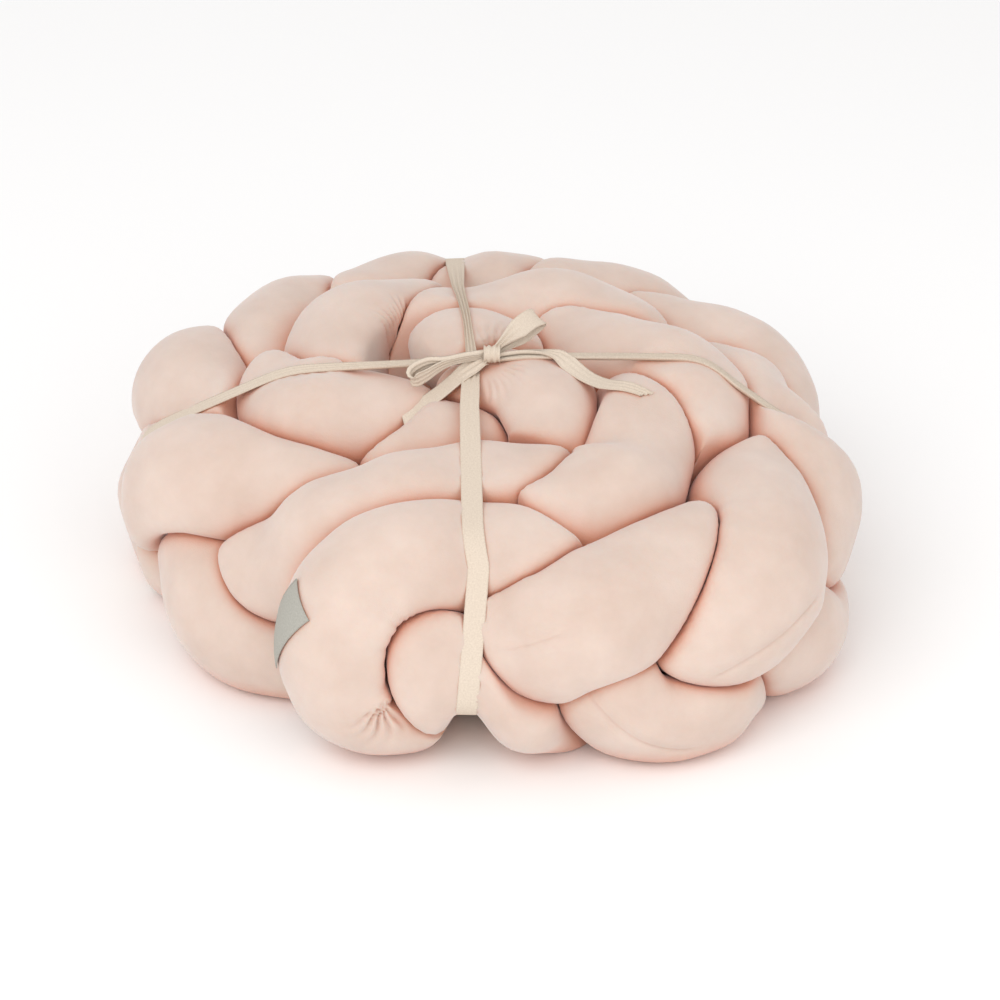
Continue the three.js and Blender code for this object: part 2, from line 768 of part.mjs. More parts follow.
const lengthLoop = wrapLoop(pair, WRAPS.lengthwise, 0);
const crossLoop = wrapLoop(pair, WRAPS.crosswise, topOf(lengthLoop) + TAPE_SINK + TAPE_THICKNESS);
const wraps = [wrapStations(lengthLoop, WRAPS.lengthwise), wrapStations(crossLoop, WRAPS.crosswise)];
const knot = new THREE.Vector3(KNOT_AT.x, KNOT_AT.y, topOf(crossLoop) + TAPE_THICKNESS);
const knotLump = new THREE.SphereGeometry(1, KNOT_SIDES.round, KNOT_SIDES.rise)
  .scale(KNOT_HALF.x, KNOT_HALF.y, KNOT_HALF.z)
  .translate(knot.x, knot.y, knot.z);
const bare = pair.getMesh();
const bow = [
  solidOf(knotLump),
  ...BOW_LOOPS.map((rows) => loopSolid(rows, knot)),
  ...BOW_TAILS.map((rows) => tailSolid(rows, knot, bare)),
];
const bands = wraps.map((stations) => stripSolid(stations, TAPE_WIDTH, TAPE_THICKNESS, true));
// The groove the tape presses into the tubes is open to the outside.
const grooves = wraps.map((stations) => {
  const width = TAPE_WIDTH + 2 * TAPE_CLEARANCE;
  const depth = TAPE_THICKNESS + 2 * TAPE_CLEARANCE + GROOVE_OPEN;
  const raised = stations.map((s) => ({ ...s, at: s.at.clone().addScaledVector(s.out, GROOVE_OPEN / 2) }));
  return stripSolid(raised, width, depth, true);
});
const tie = joined([...bands, ...bow]);
tubes = tubes.map((tube) => largestBody(tube.subtract(joined(grooves))));

const bumper = new THREE.Group();
bumper.add(meshOf(tubes[0], "tube_folded", velvet));
bumper.add(meshOf(tubes[1], "tube_single", velvet));
bumper.add(meshOf(largestBody(tie), "tie_tape", cotton));
bumper.add(meshOf(labelSolid(paths), "label", woven));

// The frame's origin is the middle of the roll's box, on the floor.
const middle = new THREE.Box3().setFromObject(bumper).getCenter(new THREE.Vector3());
bumper.children.forEach((mesh) => mesh.position.set(-middle.x, -middle.y, 0));

export default bumper;
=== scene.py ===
"""Looks of a rolled, plaited crib bumper: stuffed velvet tubes, a cotton tape tied in a bow, a bare label."""
import math

import bpy
import numpy as np
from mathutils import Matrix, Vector
from mathutils.bvhtree import BVHTree


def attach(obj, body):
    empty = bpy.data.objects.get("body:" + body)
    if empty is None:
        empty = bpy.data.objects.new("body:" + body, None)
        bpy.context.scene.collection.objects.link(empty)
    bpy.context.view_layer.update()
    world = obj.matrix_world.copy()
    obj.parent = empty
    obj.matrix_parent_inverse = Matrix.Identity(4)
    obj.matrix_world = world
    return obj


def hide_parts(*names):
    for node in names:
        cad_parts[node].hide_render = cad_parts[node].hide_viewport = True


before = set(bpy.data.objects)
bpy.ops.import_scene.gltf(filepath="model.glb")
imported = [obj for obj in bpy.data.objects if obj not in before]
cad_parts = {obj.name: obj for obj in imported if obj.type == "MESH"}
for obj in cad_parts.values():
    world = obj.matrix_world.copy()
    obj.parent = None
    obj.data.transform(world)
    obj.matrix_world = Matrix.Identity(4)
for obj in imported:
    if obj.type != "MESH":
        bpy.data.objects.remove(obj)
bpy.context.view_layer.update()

# Tables are in millimetres, in the plait's own plan, and PLAN_SHIFT moves that plan to the frame.
MM = 0.001
PLAN_SHIFT = np.array([8.12, -10.77, 0.0])
TINY = 1e-6
LEAST_SPANS = 4

# Tubes and plait
FOLDED, SINGLE = range(2)
TUBE_RADIUS = 32.5
PLAIT_RISE = 35.0
PLAIT_SPREAD = 23.0
AXIS_HEIGHT = 67.0
DEGREES_PER_STEP = 60.0
TOP_DEGREES = 90
STRAND_SHIFT = {"a": 0, "b": -2, "c": 2}
STRAND_START = {"a": -1.2, "b": -2.0, "c": -0.9}
STRAND_END = 37.0
STEP_SAMPLE = 0.05
LEAD_IN_STEPS = 0.7
HEADING_STEP = 0.02

# One row for each lobe on the plait's upper edge, from the outer end of the roll to its middle.
# x, y: the plait's axis seen from above; lift: its rise; lag: how far the lower edge trails, in steps;
# lean: how far the lower edge stands out.
STEP, X, Y, LIFT, LAG, LEAN = range(6)
LOBES = np.array([
    [-4, -120, -150, 0, 0.3, 12],
    [-2, -29, -155, 0, 0.3, -24],
    [0, 120, -163, -9, 0.8, 0],
    [2, 166, -77, 0, 1.25, 6],
    [4, 178, 9, 0, 0.2, 6],
    [6, 136, 144, 0, 0, 0],
    [8, 50, 187, 0, 0, 0],
    [10, -6, 193, 0, 0, 0],
    [12, -66, 196, 0, 0, 0],
    [14, -158, 147, 0, 0, 0],
    [16, -206, 60, 0, 0, -6],
    [18, -153, -48, 0, 0, 6],
    [20, -30, -104, 9, 0, 24],
    [22, 90, -86, 18, 0, 0],
    [24, 103, 42, 36, 0, 0],
    [26, 8, 104, 31, 0, 0],
    [28, -101, 72, 26, 0, 0],
    [30, -114, -18, 9, 0, 0],
    [32, -17, -26, 14, 0, 0],
    [34, 65, -18, 18, 0, 0],
    [36, -68, 60, 34, 0, 0],
    [38, -72, 16, 30, 0, 0],
])
# The fold that joins strands a and b, and the tucked end of strand c: x, y, z of the tube's middle.
FOLD = np.array([
    [2.0, -138, 52],
    [-22, -134, 36],
    [-48, -160, 30],
    [-84, -202, 29],
    [-100, -186, 60],
    [-78, -164, 94],
])
TUCK = np.array([
    [-78.0, -142, 76],
    [-62, -158, 84],
    [-40, -166, 86],
    [-8, -162, 76],
])
# The plait is laid out tighter by these shares, because runs that lie too close then push each other apart.
LAID_SHARE = np.array([0.9, 0.9, 0.91])
BEND_SAMPLES = 12
EASE_SPACING = 8.0
EASE_PASSES = 140
EASE_LEAST = 52.0
EASE_SHARE = 0.2
EASE_MOST = 4.0
EASE_HOLD = 0.03
LEAST_HEIGHT = 0.85 * TUBE_RADIUS
FINE_SPACING = 4.0
FINE_SMOOTHING = 10
OWN_RUN = 2.8 * TUBE_RADIUS

# Cloth grid and its settling
RING_SPACING = 4.1
RING_SIDES = 56
REACH = 88.0
PLANE_EVERY = 3
CONTACT_GAP = 0.4
BEND_SHARE = 0.92
BEND_SPAN = 4
BEND_LEAST = 1 / (1.4 * TUBE_RADIUS)
START_SHARE = 0.96
START_BLEND = 10.0
END_ROUND = 30.0
HELD_RINGS = 3
GIRTH_SHARE = 1.04
CLOTH_GIRTH = 2 * math.pi * TUBE_RADIUS * GIRTH_SHARE
OUTER_SHARE = 0.8
STRETCH = 0.5
SQUEEZE_ALONG = 0.0
SQUEEZE_ROUND = 0.03
SHEAR = 0.06
STIFF_ALONG = 0.14
STIFF_ROUND = 0.1
PRESSURE = 0.15
GIRTH_GIVE = 1.01
FREE_TURNS = 60
TIED_TURNS = 110
DRIFT_SMOOTHING = 40
LUMP_SHARE = 0.03
LUMP_SMOOTHING = 160
RANDOM_SEED = 7
CALM_TURNS = 30
CALM_IN = 0.5
CALM_OUT = 0.52

# Pleats inside tight bends: where the cloth is squeezed to less than a share of its length.
PLEAT_FROM = 0.5
PLEAT_FULL = 0.25
PLEAT_PITCH = 4.6
PLEAT_DEPTH = 1.5
PLEAT_SPREAD = 6
PLEAT_WANDER = 0.5
PLEAT_WANDER_SPREAD = 8

# Gathers finer than the cloth's grid, all on the folded tube: the point that the folds fan out from, a point
# they head for, how many degrees they fan out over, how many there are, how far out they start and end, and
# how deep they are.
GATHERS = [
    {"at": [-67, -213, 62], "to": [-69, -214, 33], "fan": 120, "folds": 6, "span": (3, 43), "depth": 3.8},
    {"at": [-49, 66, 151], "to": [-80, 84, 178], "fan": 84, "folds": 8, "span": (18, 47), "depth": 2.2},
    {"at": [-2, 10, 168], "to": [0, 38, 181], "fan": 56, "folds": 4, "span": (12, 42), "depth": 2.2},
    {"at": [-5, -2, 176], "to": [17, -40, 171], "fan": 76, "folds": 7, "span": (14, 43), "depth": 1.4},
]
GATHER_CELL = 1.3
GATHER_WANDER = 0.2
GATHER_WAVE = 5.0
GATHER_LEAST = 0.6
GATHER_RISE = 4.0
GATHER_RINGS = 20
GATHER_SIDES = 14

# Stretches of the tubes' lengthwise seams that show, between two points on the cloth.
SEAMS = [
    {"tube": FOLDED, "from": [56, -208, 60], "to": [117, -206, 17]},
    {"tube": FOLDED, "from": [36, -220, 111], "to": [12, -215, 96]},
    {"tube": SINGLE, "from": [192, -162, 97], "to": [136, -197, 70]},
]
SEAM_FADE = 20
SEAM_TAPER = 3
SEAM_DEPTH = 0.9
SEAM_CLOSE = 0.6
SEAM_RAISE = 0.25

# Tape
TAPE_WIDTH = 13.0
TAPE_THICKNESS = 0.9
TAPE_SINK = 3.0
TAPE_EDGE_SLOPE = 1.6
TAPE_REACH = 26.0
TAPE_STEP = 5.0
TAPE_ROUNDING = 6
TAPE_FINE_STEP = 2.0
TAPE_CELLS = 12
PLEATS = 3
KNOT_AT = np.array([-2.0, -4.0])
# Where the tape draws in the front of the roll: degrees as in the wraps below, how deep, and how much of the
# tube is kept.
CINCH_DEGREES = 238
CINCH_DEPTH = 33.0
CINCH_KEPT = 17.0
CINCH_CUT = CINCH_DEPTH + CINCH_KEPT - TUBE_RADIUS
CINCH_X = -17.5
CINCH_SPREAD = 24.0
CINCH_SMOOTHING = 6
# For each wrap: where its two ends head in plan, the corners it cuts (degrees round the wrap from the second
# end upward, and the depth of the cut), how far its two halves sway aside at each height, and how much of its
# width shows at each distance from the knot along them.
WRAPS = {
    "lengthwise": {
        "ends": np.array([[-6.5, -215], [-23, 240]]),
        "cuts": [(CINCH_DEGREES, CINCH_CUT)],
        "sway": [
            np.array([[45, -11], [130, -4], [165, -13]]),
            np.array([[100, 0], [165, 12]]),
        ],
        "shown": [
            np.array([[0, 0.8], [25, 0.9], [90, 1]]),
            np.array([[0, 0.6], [40, 0.4], [100, 0.5], [200, 1]]),
        ],
    },
    "crosswise": {
        "ends": np.array([[-199, 4], [165, 6]]),
        "cuts": [(180, 14), (20, 10), (52, 15)],
        "sway": [
            np.array([[0, 0]]),
            np.array([[90, 0], [140, -12], [160, -10], [176, 0]]),
        ],
        "shown": [
            np.array([[0, 0.45], [60, 0.5], [140, 0.9], [200, 1]]),
            np.array([[0, 0.4], [100, 0.45], [170, 0.6], [240, 1]]),
        ],
    },
}
# Bow loops from the knot's middle: x, y, z of the path, the way the tape's width points, and how much of the
# width shows at each distance from the knot.
BOW_LOOPS = [
    {
        "path": [[0, 0, 1], [10, 7, 8], [23, 20, 13], [29, 27, 12], [28, 28, 8], [17, 17, 4], [0, 0, -1]],
        "across": np.array([0.67, -0.38, -0.64]),
        "shown": np.array([[0, 0.25], [8, 0.4], [24, 1]]),
    },
    {
        "path": [
            [0, 0, 1], [-16, -5, 1], [-30, -10, 0], [-40, -12, 0],
            [-50, -17, -4], [-49, -20, -8], [-42, -17, -6], [-30, -11, -1], [-15, -5.5, 0.5], [0, 0, -1],
        ],
        "across": np.array([-0.3, -0.35, 0.88]),
        "shown": np.array([[0, 0.35], [25, 0.4], [40, 0.6], [50, 0.8]]),
    },
]
# Bow tails from the knot's middle: x, y of the path over the cloth, and how much of the width shows.
BOW_TAILS = [
    {
        "path": [[4, 1], [22, 4], [40, 1], [60, -14], [80, -29], [96, -38]],
        "shown": np.array([[0, 0.35], [28, 0.45], [45, 0.95], [75, 1], [110, 0.5]]),
    },
    {
        "path": [[-3, -2], [-20, -10], [-40, -22], [-56, -34]],
        "shown": np.array([[0, 0.5], [10, 0.85], [20, 1]]),
    },
]
BOW_SAMPLES = 8
BOW_STEP = 1.5
TAIL_CUT = 0.5
DRAPE_FROM = 260.0
DRAPE_TURNS = 300
DRAPE_ROUNDING = 2
DRAPE_GAP = 0.9
KNOT_ROUND = np.array([5.2, 4.6])
KNOT_SHOWN = 0.8
KNOT_SAMPLES = 28

# Label
LABEL_NEAR = (-126, -182, 96)
LABEL_SIZE = (28, 52)
LABEL_CELLS = (14, 26)
LABEL_TURN = -35.0
LABEL_LIFT = 0.9
LABEL_THICKNESS = 0.8
LABEL_SPAN = 4

# Velvet: nap and pile are noise at two scales. Painted shade makes the colour deeper and darker inside
# creases and near the floor, standing in for shade and light bounced between the tubes.
NAP = {"Scale": 22.0, "Detail": 4.0, "Roughness": 0.6}
NAP_TONES = ((0.3, (0.64, 0.48, 0.405, 1)), (0.7, (0.72, 0.565, 0.49, 1)))
PAINTED_CREASE_SHADE_TONES = ((0.25, (1.0, 0.66, 0.52, 1)), (0.6, (1.0, 0.87, 0.82, 1)), (0.95, (0.97, 1.0, 1.0, 1)))
CREASE_REACH = 0.022
CREASE_SAMPLES = 8
PILE = {"Scale": 900.0, "Detail": 2.0}
PILE_BUMP = {"Strength": 0.25, "Distance": 0.0006}
VELVET_LOOK = {
    "Roughness": 0.9,
    "Specular IOR Level": 0.15,
    "Subsurface Weight": 0.2,
    "Subsurface Radius": (1.0, 0.4, 0.25),
    "Subsurface Scale": 0.008,
    "Sheen Weight": 0.35,
    "Sheen Roughness": 0.5,
    "Sheen Tint": (0.92, 0.95, 1.0, 1),
}

# Tape and label: threads about 0.7 mm apart, as the wave textures count them, with uneven tones.
THREADS = {"Scale": 450.0, "Distortion": 0.6}
SLUB = {"Scale": 900.0, "Detail": 3.0, "Roughness": 0.6}
TAPE_TONES = ((0.3, (0.64, 0.54, 0.44, 1)), (0.7, (0.74, 0.64, 0.53, 1)))
LABEL_TONES = ((0.3, (0.38, 0.37, 0.325, 1)), (0.7, (0.46, 0.445, 0.40, 1)))
WEAVE_BUMP = {"Strength": 0.4, "Distance": 0.0003}
WOVEN_LOOK = {"Roughness": 0.85, "Specular IOR Level": 0.2}

# Stage and lights, in metres and watts
FLOOR_HALF = 4.0
FLOOR_LOOK = {"Base Color": (0.97, 0.97, 0.97, 1), "Roughness": 0.9}
WORLD_LOOK = {"Color": (1.0, 0.99, 0.985, 1), "Strength": 0.85}
LIGHT_TARGET = (0, 0, 0.08)
LIGHTS = [
    {"name": "key", "at": (-0.9, -1.7, 1.8), "size": 2.0, "power": 24},
    {"name": "fill", "at": (1.4, -1.9, 1.2), "size": 2.0, "power": 10},
]

# Camera, in millimetres and degrees
CAMERA_TARGET = (0, 0, 62)
CAMERA_DISTANCE = 2200.0
CAMERA_ELEVATION = 31.0
CAMERA_LENS = 121.85
CAMERA_SENSOR = 36
CAMERA_SHIFT = (0.005, 0.012)


def unit(v):
    return v / np.maximum(np.linalg.norm(v, axis=-1, keepdims=True), TINY)


def blend(p0, p1, p2, p3, u):
    """The uniform Catmull-Rom value between p1 and p2."""
    first = (p2 - p0) * u
    second = (2 * p0 - 5 * p1 + 4 * p2 - p3) * u**2
    third = (3 * p1 - p0 - 3 * p2 + p3) * u**3
    return 0.5 * (2 * p1 + first + second + third)


def axis_at(step):
    """Every column of the lobe table at an array of steps, blended."""
    last = len(LOBES) - 1
    gap = LOBES[1, STEP] - LOBES[0, STEP]
    row = np.clip(np.floor((step - LOBES[0, STEP]) / gap).astype(int), 0, last - 1)
    u = ((step - LOBES[row, STEP]) / gap)[:, None]
    before = LOBES[np.maximum(row - 1, 0)]
    after = LOBES[np.minimum(row + 2, last)]
    return blend(before, LOBES[row], LOBES[row + 1], after, u)


def strand_run(name):
    """A strand's middle: it climbs and falls once in six steps, and passes outside and inside twice."""
    count = round((STRAND_END - STRAND_START[name]) / STEP_SAMPLE)
    step = STRAND_START[name] + STEP_SAMPLE * np.arange(count)
    phase = np.radians(TOP_DEGREES + DEGREES_PER_STEP * (step - STRAND_SHIFT[name]))
    low = (1 - np.sin(phase)) / 2
    here = axis_at(step)
    at = step - here[:, LAG] * low
    p = axis_at(at)
    along = unit((axis_at(at + HEADING_STEP) - axis_at(at - HEADING_STEP))[:, [X, Y]])
    out = PLAIT_SPREAD * np.sin(2 * phase) + here[:, LEAN] * low
    height = AXIS_HEIGHT + p[:, LIFT] + PLAIT_RISE * np.sin(phase)
    return np.stack([p[:, X] + out * along[:, 1], p[:, Y] - out * along[:, 0], height], 1)


def bend_through(points, samples):
    """A smooth bend through points, from the second up to the last but one."""
    u = (np.arange(samples) / samples)[:, None]
    spans = [blend(*points[i - 1:i + 3], u) for i in range(1, len(points) - 2)]
    return np.concatenate(spans)


def path_through(points, samples):
    """A smooth path through all the points, ends included."""
    points = np.asarray(points, float)
    before = 2 * points[0] - points[1]
    after = 2 * points[-1] - points[-2]
    bend = bend_through(np.vstack([before, points, after]), samples)
    return np.vstack([bend, points[-1]])


def arc_lengths(points):
    return np.concatenate([[0], np.cumsum(np.linalg.norm(np.diff(points, axis=0), axis=1))])


def resample(points, spacing):
    lengths = arc_lengths(points)
    count = max(round(lengths[-1] / spacing), LEAST_SPANS)
    want = np.linspace(0, lengths[-1], count + 1)
    return np.stack([np.interp(want, lengths, column) for column in points.T], 1)


def smooth(points, times):
    """Each point but the two ends moves half way to the middle of its neighbours, over and over."""
    for _ in range(times):
        points = np.concatenate([
            points[:1],
            (points[:-2] + 2 * points[1:-1] + points[2:]) / 4,
            points[-1:],
        ])
    return points


def ease(paths):
    """Runs that lie too close are pushed apart bit by bit, while each is drawn back to its own place."""
    owner = np.concatenate([np.full(len(p), k) for k, p in enumerate(paths)])
    index = np.concatenate([np.arange(len(p)) for p in paths])
    apart = np.abs(index[:, None] - index[None]) * EASE_SPACING
    own = (owner[:, None] == owner[None]) & (apart < OWN_RUN)
    cuts = np.cumsum([len(p) for p in paths])[:-1]
    home = np.concatenate(paths)
    now = home
    for _ in range(EASE_PASSES):
        square = (now * now).sum(1)
        distance = np.sqrt(np.maximum(square[:, None] + square[None] - 2 * now @ now.T, TINY))
        first, second = np.nonzero((distance < EASE_LEAST) & ~own)
        gap = now[first] - now[second]
        share = EASE_LEAST / distance[first, second] - 1
        push = np.stack([np.bincount(first, gap[:, i] * share, len(now)) for i in range(3)], 1)
        count = np.maximum(np.bincount(first, minlength=len(now)), 1)
        push *= (EASE_SHARE / np.sqrt(count))[:, None]
        length = np.linalg.norm(push, axis=1, keepdims=True)
        now = now + push * np.minimum(EASE_MOST / np.maximum(length, TINY), 1)
        now += EASE_HOLD * (home - now)
        now[:, 2] = np.maximum(now[:, 2], LEAST_HEIGHT)
        now = np.concatenate([smooth(p, 1) for p in np.split(now, cuts)])
    return np.split(now, cuts)


def tube_paths():
    """The middles of the two tubes: strands a and b joined by the fold, and strand c with its tucked end."""
    a, b, c = (strand_run(name) for name in "abc")
    lead = round(LEAD_IN_STEPS / STEP_SAMPLE)
    fold = bend_through(np.vstack([a[lead], a[0], FOLD, b[0], b[lead]]), BEND_SAMPLES)[1:]
    tuck = bend_through(np.vstack([2 * TUCK[0] - TUCK[1], TUCK, c[0], c[lead]]), BEND_SAMPLES)
    runs = [np.vstack([a[::-1], fold, b]), np.vstack([tuck, c])]
    eased = ease([resample(run, EASE_SPACING) * LAID_SHARE for run in runs])
    fine = [smooth(resample(run, FINE_SPACING), FINE_SMOOTHING) for run in eased]
    return [resample(run, RING_SPACING) for run in cinch(fine)]


def cinch(paths):
    """The runs that the tape would cut through are drawn in under it."""
    turn = math.radians(CINCH_DEGREES)
    facing = np.array([0.0, math.cos(turn), math.sin(turn)])
    everywhere = np.concatenate(paths)
    under = np.abs(everywhere[:, 0] - CINCH_X) < TAPE_WIDTH
    limit = (everywhere[under] @ facing).max() + TUBE_RADIUS - CINCH_DEPTH - CINCH_KEPT
    drawn = []
    for path in paths:
        over = np.maximum(path @ facing - limit, 0)
        share = np.exp(-((path[:, 0] - CINCH_X) / CINCH_SPREAD) ** 2)
        drawn.append(smooth(path - (over * share)[:, None] * facing, CINCH_SMOOTHING))
    return drawn


def frames_of(path):
    """A pair of sideways directions carried along the path without twist."""
    along = unit(np.gradient(path, axis=0))
    side = np.zeros_like(path)
    now = np.array([0.0, 0.0, 1.0])
    for i, heading in enumerate(along):
        now = unit(now - heading * (now @ heading))
        side[i] = now
    return side, np.cross(along, side)


def bends_of(path):
    """The bend at each point of a path: toward the centre of the bend, one over its radius long."""
    bend = np.zeros_like(path)
    s = BEND_SPAN
    bend[s:-s] = (path[2 * s:] + path[:-2 * s] - 2 * path[s:-s]) / (s * RING_SPACING) ** 2
    return smooth(bend, BEND_SPAN)


def contact_planes(paths, k):
    """For each ring, the planes half way to the runs close by, and the one short of its own bend's centre.

    Each is a normal and its distance from the ring's middle, and rows are padded to one length."""
    points = np.concatenate([p[::PLANE_EVERY] for p in paths])
    owner = np.concatenate([np.full(len(p[::PLANE_EVERY]), m) for m, p in enumerate(paths)])
    index = np.concatenate([np.arange(0, len(p), PLANE_EVERY) for p in paths])
    bends = bends_of(paths[k])
    found = []
    for i, middle in enumerate(paths[k]):
        to = points - middle
        distance = np.linalg.norm(to, axis=1)
        own = (owner == k) & (np.abs(index - i) * RING_SPACING <= OWN_RUN)
        near = (distance < REACH) & ~own
        normals = to[near] / distance[near, None]
        heights = (distance[near] - CONTACT_GAP) / 2
        curl = np.linalg.norm(bends[i])
        if curl > BEND_LEAST:
            normals = np.vstack([normals, bends[i] / curl])
            heights = np.append(heights, BEND_SHARE / curl)
        found.append((normals, heights))
    most = max(len(heights) for _, heights in found)
    all_normals = np.zeros((len(found), most, 3), np.float32)
    all_heights = np.full((len(found), most), REACH, np.float32)
    for i, (normals, heights) in enumerate(found):
        all_normals[i, :len(heights)] = normals
        all_heights[i, :len(heights)] = heights
    return all_normals, all_heights


def soft_min(a, b, width):
    """The lesser of two values, rounded off where they are closer than width."""
    h = np.clip(0.5 + 0.5 * (b - a) / width, 0, 1)
    return b + (a - b) * h - width * h * (1 - h)


def start_tube(paths, k, rng):
    """A tube's cloth before it settles: round rings cut back by their neighbours."""
    path = paths[k]
    side, across = frames_of(path)
    normals, heights = contact_planes(paths, k)
    turn = 2 * np.pi * np.arange(RING_SIDES) / RING_SIDES
    rays = side[:, None] * np.cos(turn)[None, :, None] + across[:, None] * np.sin(turn)[None, :, None]
    lean = np.matmul(rays.astype(np.float32), normals.transpose(0, 2, 1))
    limit = np.where(lean > TINY, heights[:, None] / np.maximum(lean, TINY), REACH).min(-1)
    down = np.maximum(-rays[..., 2], TINY)
    limit = np.minimum(limit, path[:, None, 2] / down)
    radius = soft_min(limit, np.full_like(limit, START_SHARE * TUBE_RADIUS), START_BLEND)
    ends = np.minimum(np.arange(len(path)), np.arange(len(path))[::-1]) * RING_SPACING
    shrink = np.sqrt(1 - np.maximum(1 - ends / END_ROUND, 0) ** 2)
    grid = path[:, None] + rays * (np.maximum(radius, TINY) * np.maximum(shrink, TINY)[:, None])[..., None]
    bend = np.linalg.norm(bends_of(path), axis=1)
    lumps = smooth(rng.standard_normal((len(path), 1)), LUMP_SMOOTHING)[:, 0]
    return {
        "path": path.astype(np.float32),
        "normals": normals,
        "heights": heights,
        "grid": grid.astype(np.float32),
        "middle": grid.mean(1).astype(np.float32),
        "held": grid.astype(np.float32),
        "along": (RING_SPACING * (1 + OUTER_SHARE * TUBE_RADIUS * bend)).astype(np.float32),
        "girth": (CLOTH_GIRTH * shrink * (1 + LUMP_SHARE * lumps / np.abs(lumps).max())).astype(np.float32),
        "patches": [],
    }


def outward(grid):
    along = np.gradient(grid, axis=0)
    around = np.roll(grid, -1, 1) - np.roll(grid, 1, 1)
    return unit(np.cross(around, along))


def thread_pull(start, end, rest, stretch, squeeze):
    """How far the start of each thread moves toward its end to come back to its rest length."""
    to = end - start
    length = np.sqrt((to * to).sum(-1, keepdims=True))
    off = (length - rest) / np.maximum(length, TINY)
    return to * off * np.where(off > 0, stretch / 2, squeeze / 2)


def curl_along(grid):
    curl = np.zeros_like(grid)
    curl[1:-1] = (grid[2:] + grid[:-2]) / 2 - grid[1:-1]
    return curl


def curl_round(grid):
    return (np.roll(grid, -1, 1) + np.roll(grid, 1, 1)) / 2 - grid


def relax(tube):
    """One turn of settling: the filling presses out, and threads and the cloth's own stiffness hold it."""
    grid = tube["grid"]
    after = np.roll(grid, -1, 1)
    rest_round = tube["girth"][:, None, None] / RING_SIDES
    rest_along = tube["along"][:-1, None, None]
    rest_slant = np.sqrt(rest_along**2 + rest_round[:-1] ** 2)
    move = PRESSURE * unit(grid - grid.mean(1, keepdims=True))
    pull = thread_pull(grid[:-1], grid[1:], rest_along, STRETCH, SQUEEZE_ALONG)
    move[:-1] += pull
    move[1:] -= pull
    pull = thread_pull(grid, after, rest_round, STRETCH, SQUEEZE_ROUND)
    move += pull
    move -= np.roll(pull, 1, 1)
    pull = thread_pull(grid[:-1], after[1:], rest_slant, SHEAR, SHEAR)
    move[:-1] += pull
    move[1:] -= np.roll(pull, 1, 1)
    pull = thread_pull(after[:-1], grid[1:], rest_slant, SHEAR, SHEAR)
    move[:-1] += np.roll(pull, 1, 1)
    move[1:] -= pull
    move -= STIFF_ALONG * curl_along(curl_along(grid))
    move -= STIFF_ROUND * curl_round(curl_round(grid))
    grid += move
    middle = grid.mean(1, keepdims=True)
    girth = np.linalg.norm(grid - np.roll(grid, 1, 1), axis=-1).sum(1)
    share = np.minimum(tube["girth"] * GIRTH_GIVE / np.maximum(girth, TINY), 1)
    grid[:] = middle + (grid - middle) * share[:, None, None]
    drift = smooth(middle[:, 0] - tube["middle"], DRIFT_SMOOTHING)
    grid -= drift[:, None]


def press(tube):
    """The cloth stays on its own side of the planes between tubes, and above the floor."""
    grid = tube["grid"]
    over = np.matmul(grid - tube["path"][:, None], tube["normals"].transpose(0, 2, 1))
    over -= tube["heights"][:, None]
    worst = over.argmax(-1)
    amount = np.maximum(np.take_along_axis(over, worst[..., None], -1), 0)
    rows = np.arange(len(grid))[:, None]
    grid -= amount * tube["normals"][rows, worst]
    grid[..., 2] = np.maximum(grid[..., 2], 0)


def calm(tube):
    """Small kinks are smoothed away without drawing the cloth in."""
    grid = tube["grid"]
    grid += CALM_IN * (curl_along(grid) + curl_round(grid)) / 2
    grid -= CALM_OUT * (curl_along(grid) + curl_round(grid)) / 2


def spread(values, times):
    """A grid of numbers evened out along the rings and round them."""
    for _ in range(times):
        values = smooth(values, 1)
        values = (np.roll(values, 1, 1) + 2 * values + np.roll(values, -1, 1)) / 4
    return values


def pleat(tube, rng):
    """Folds across the tube where a bend squeezes its cloth: round ridges with sharp valleys."""
    grid = tube["grid"]
    step = np.linalg.norm(np.gradient(grid, axis=0), axis=-1)
    squeezed = step / tube["along"][:, None]
    depth = spread(np.clip((PLEAT_FROM - squeezed) / (PLEAT_FROM - PLEAT_FULL), 0, 1), PLEAT_SPREAD)
    inner = smooth(step.min(1)[:, None], PLEAT_SPREAD)
    wander = rng.standard_normal(step.shape)
    wander = PLEAT_WANDER * spread(wander, PLEAT_WANDER_SPREAD)
    phase = np.pi * np.cumsum(inner, 0) / PLEAT_PITCH + wander
    valley = np.abs(np.sin(phase)) - 1
    grid += (PLEAT_DEPTH * depth * valley)[..., None] * outward(grid)


def nearest(grid, point):
    """The ring and side of the place on the cloth that is closest to a point."""
    away = np.linalg.norm(grid - np.asarray(point, float), axis=-1)
    return np.unravel_index(away.argmin(), away.shape)


def between(grid, rings, sides):
    """The grid's values at places between its rings and sides, on smooth curves."""
    r = np.floor(rings).astype(int)
    s = np.floor(sides).astype(int)
    u = (rings - r)[..., None]
    v = (sides - s)[..., None]
    last = len(grid) - 1
    lines = []
    for ring in (r - 1, r, r + 1, r + 2):
        row = np.clip(ring, 0, last)
        lines.append(blend(*(grid[row, (s + step) % RING_SIDES] for step in (-1, 0, 1, 2)), v))
    return blend(*lines, u)


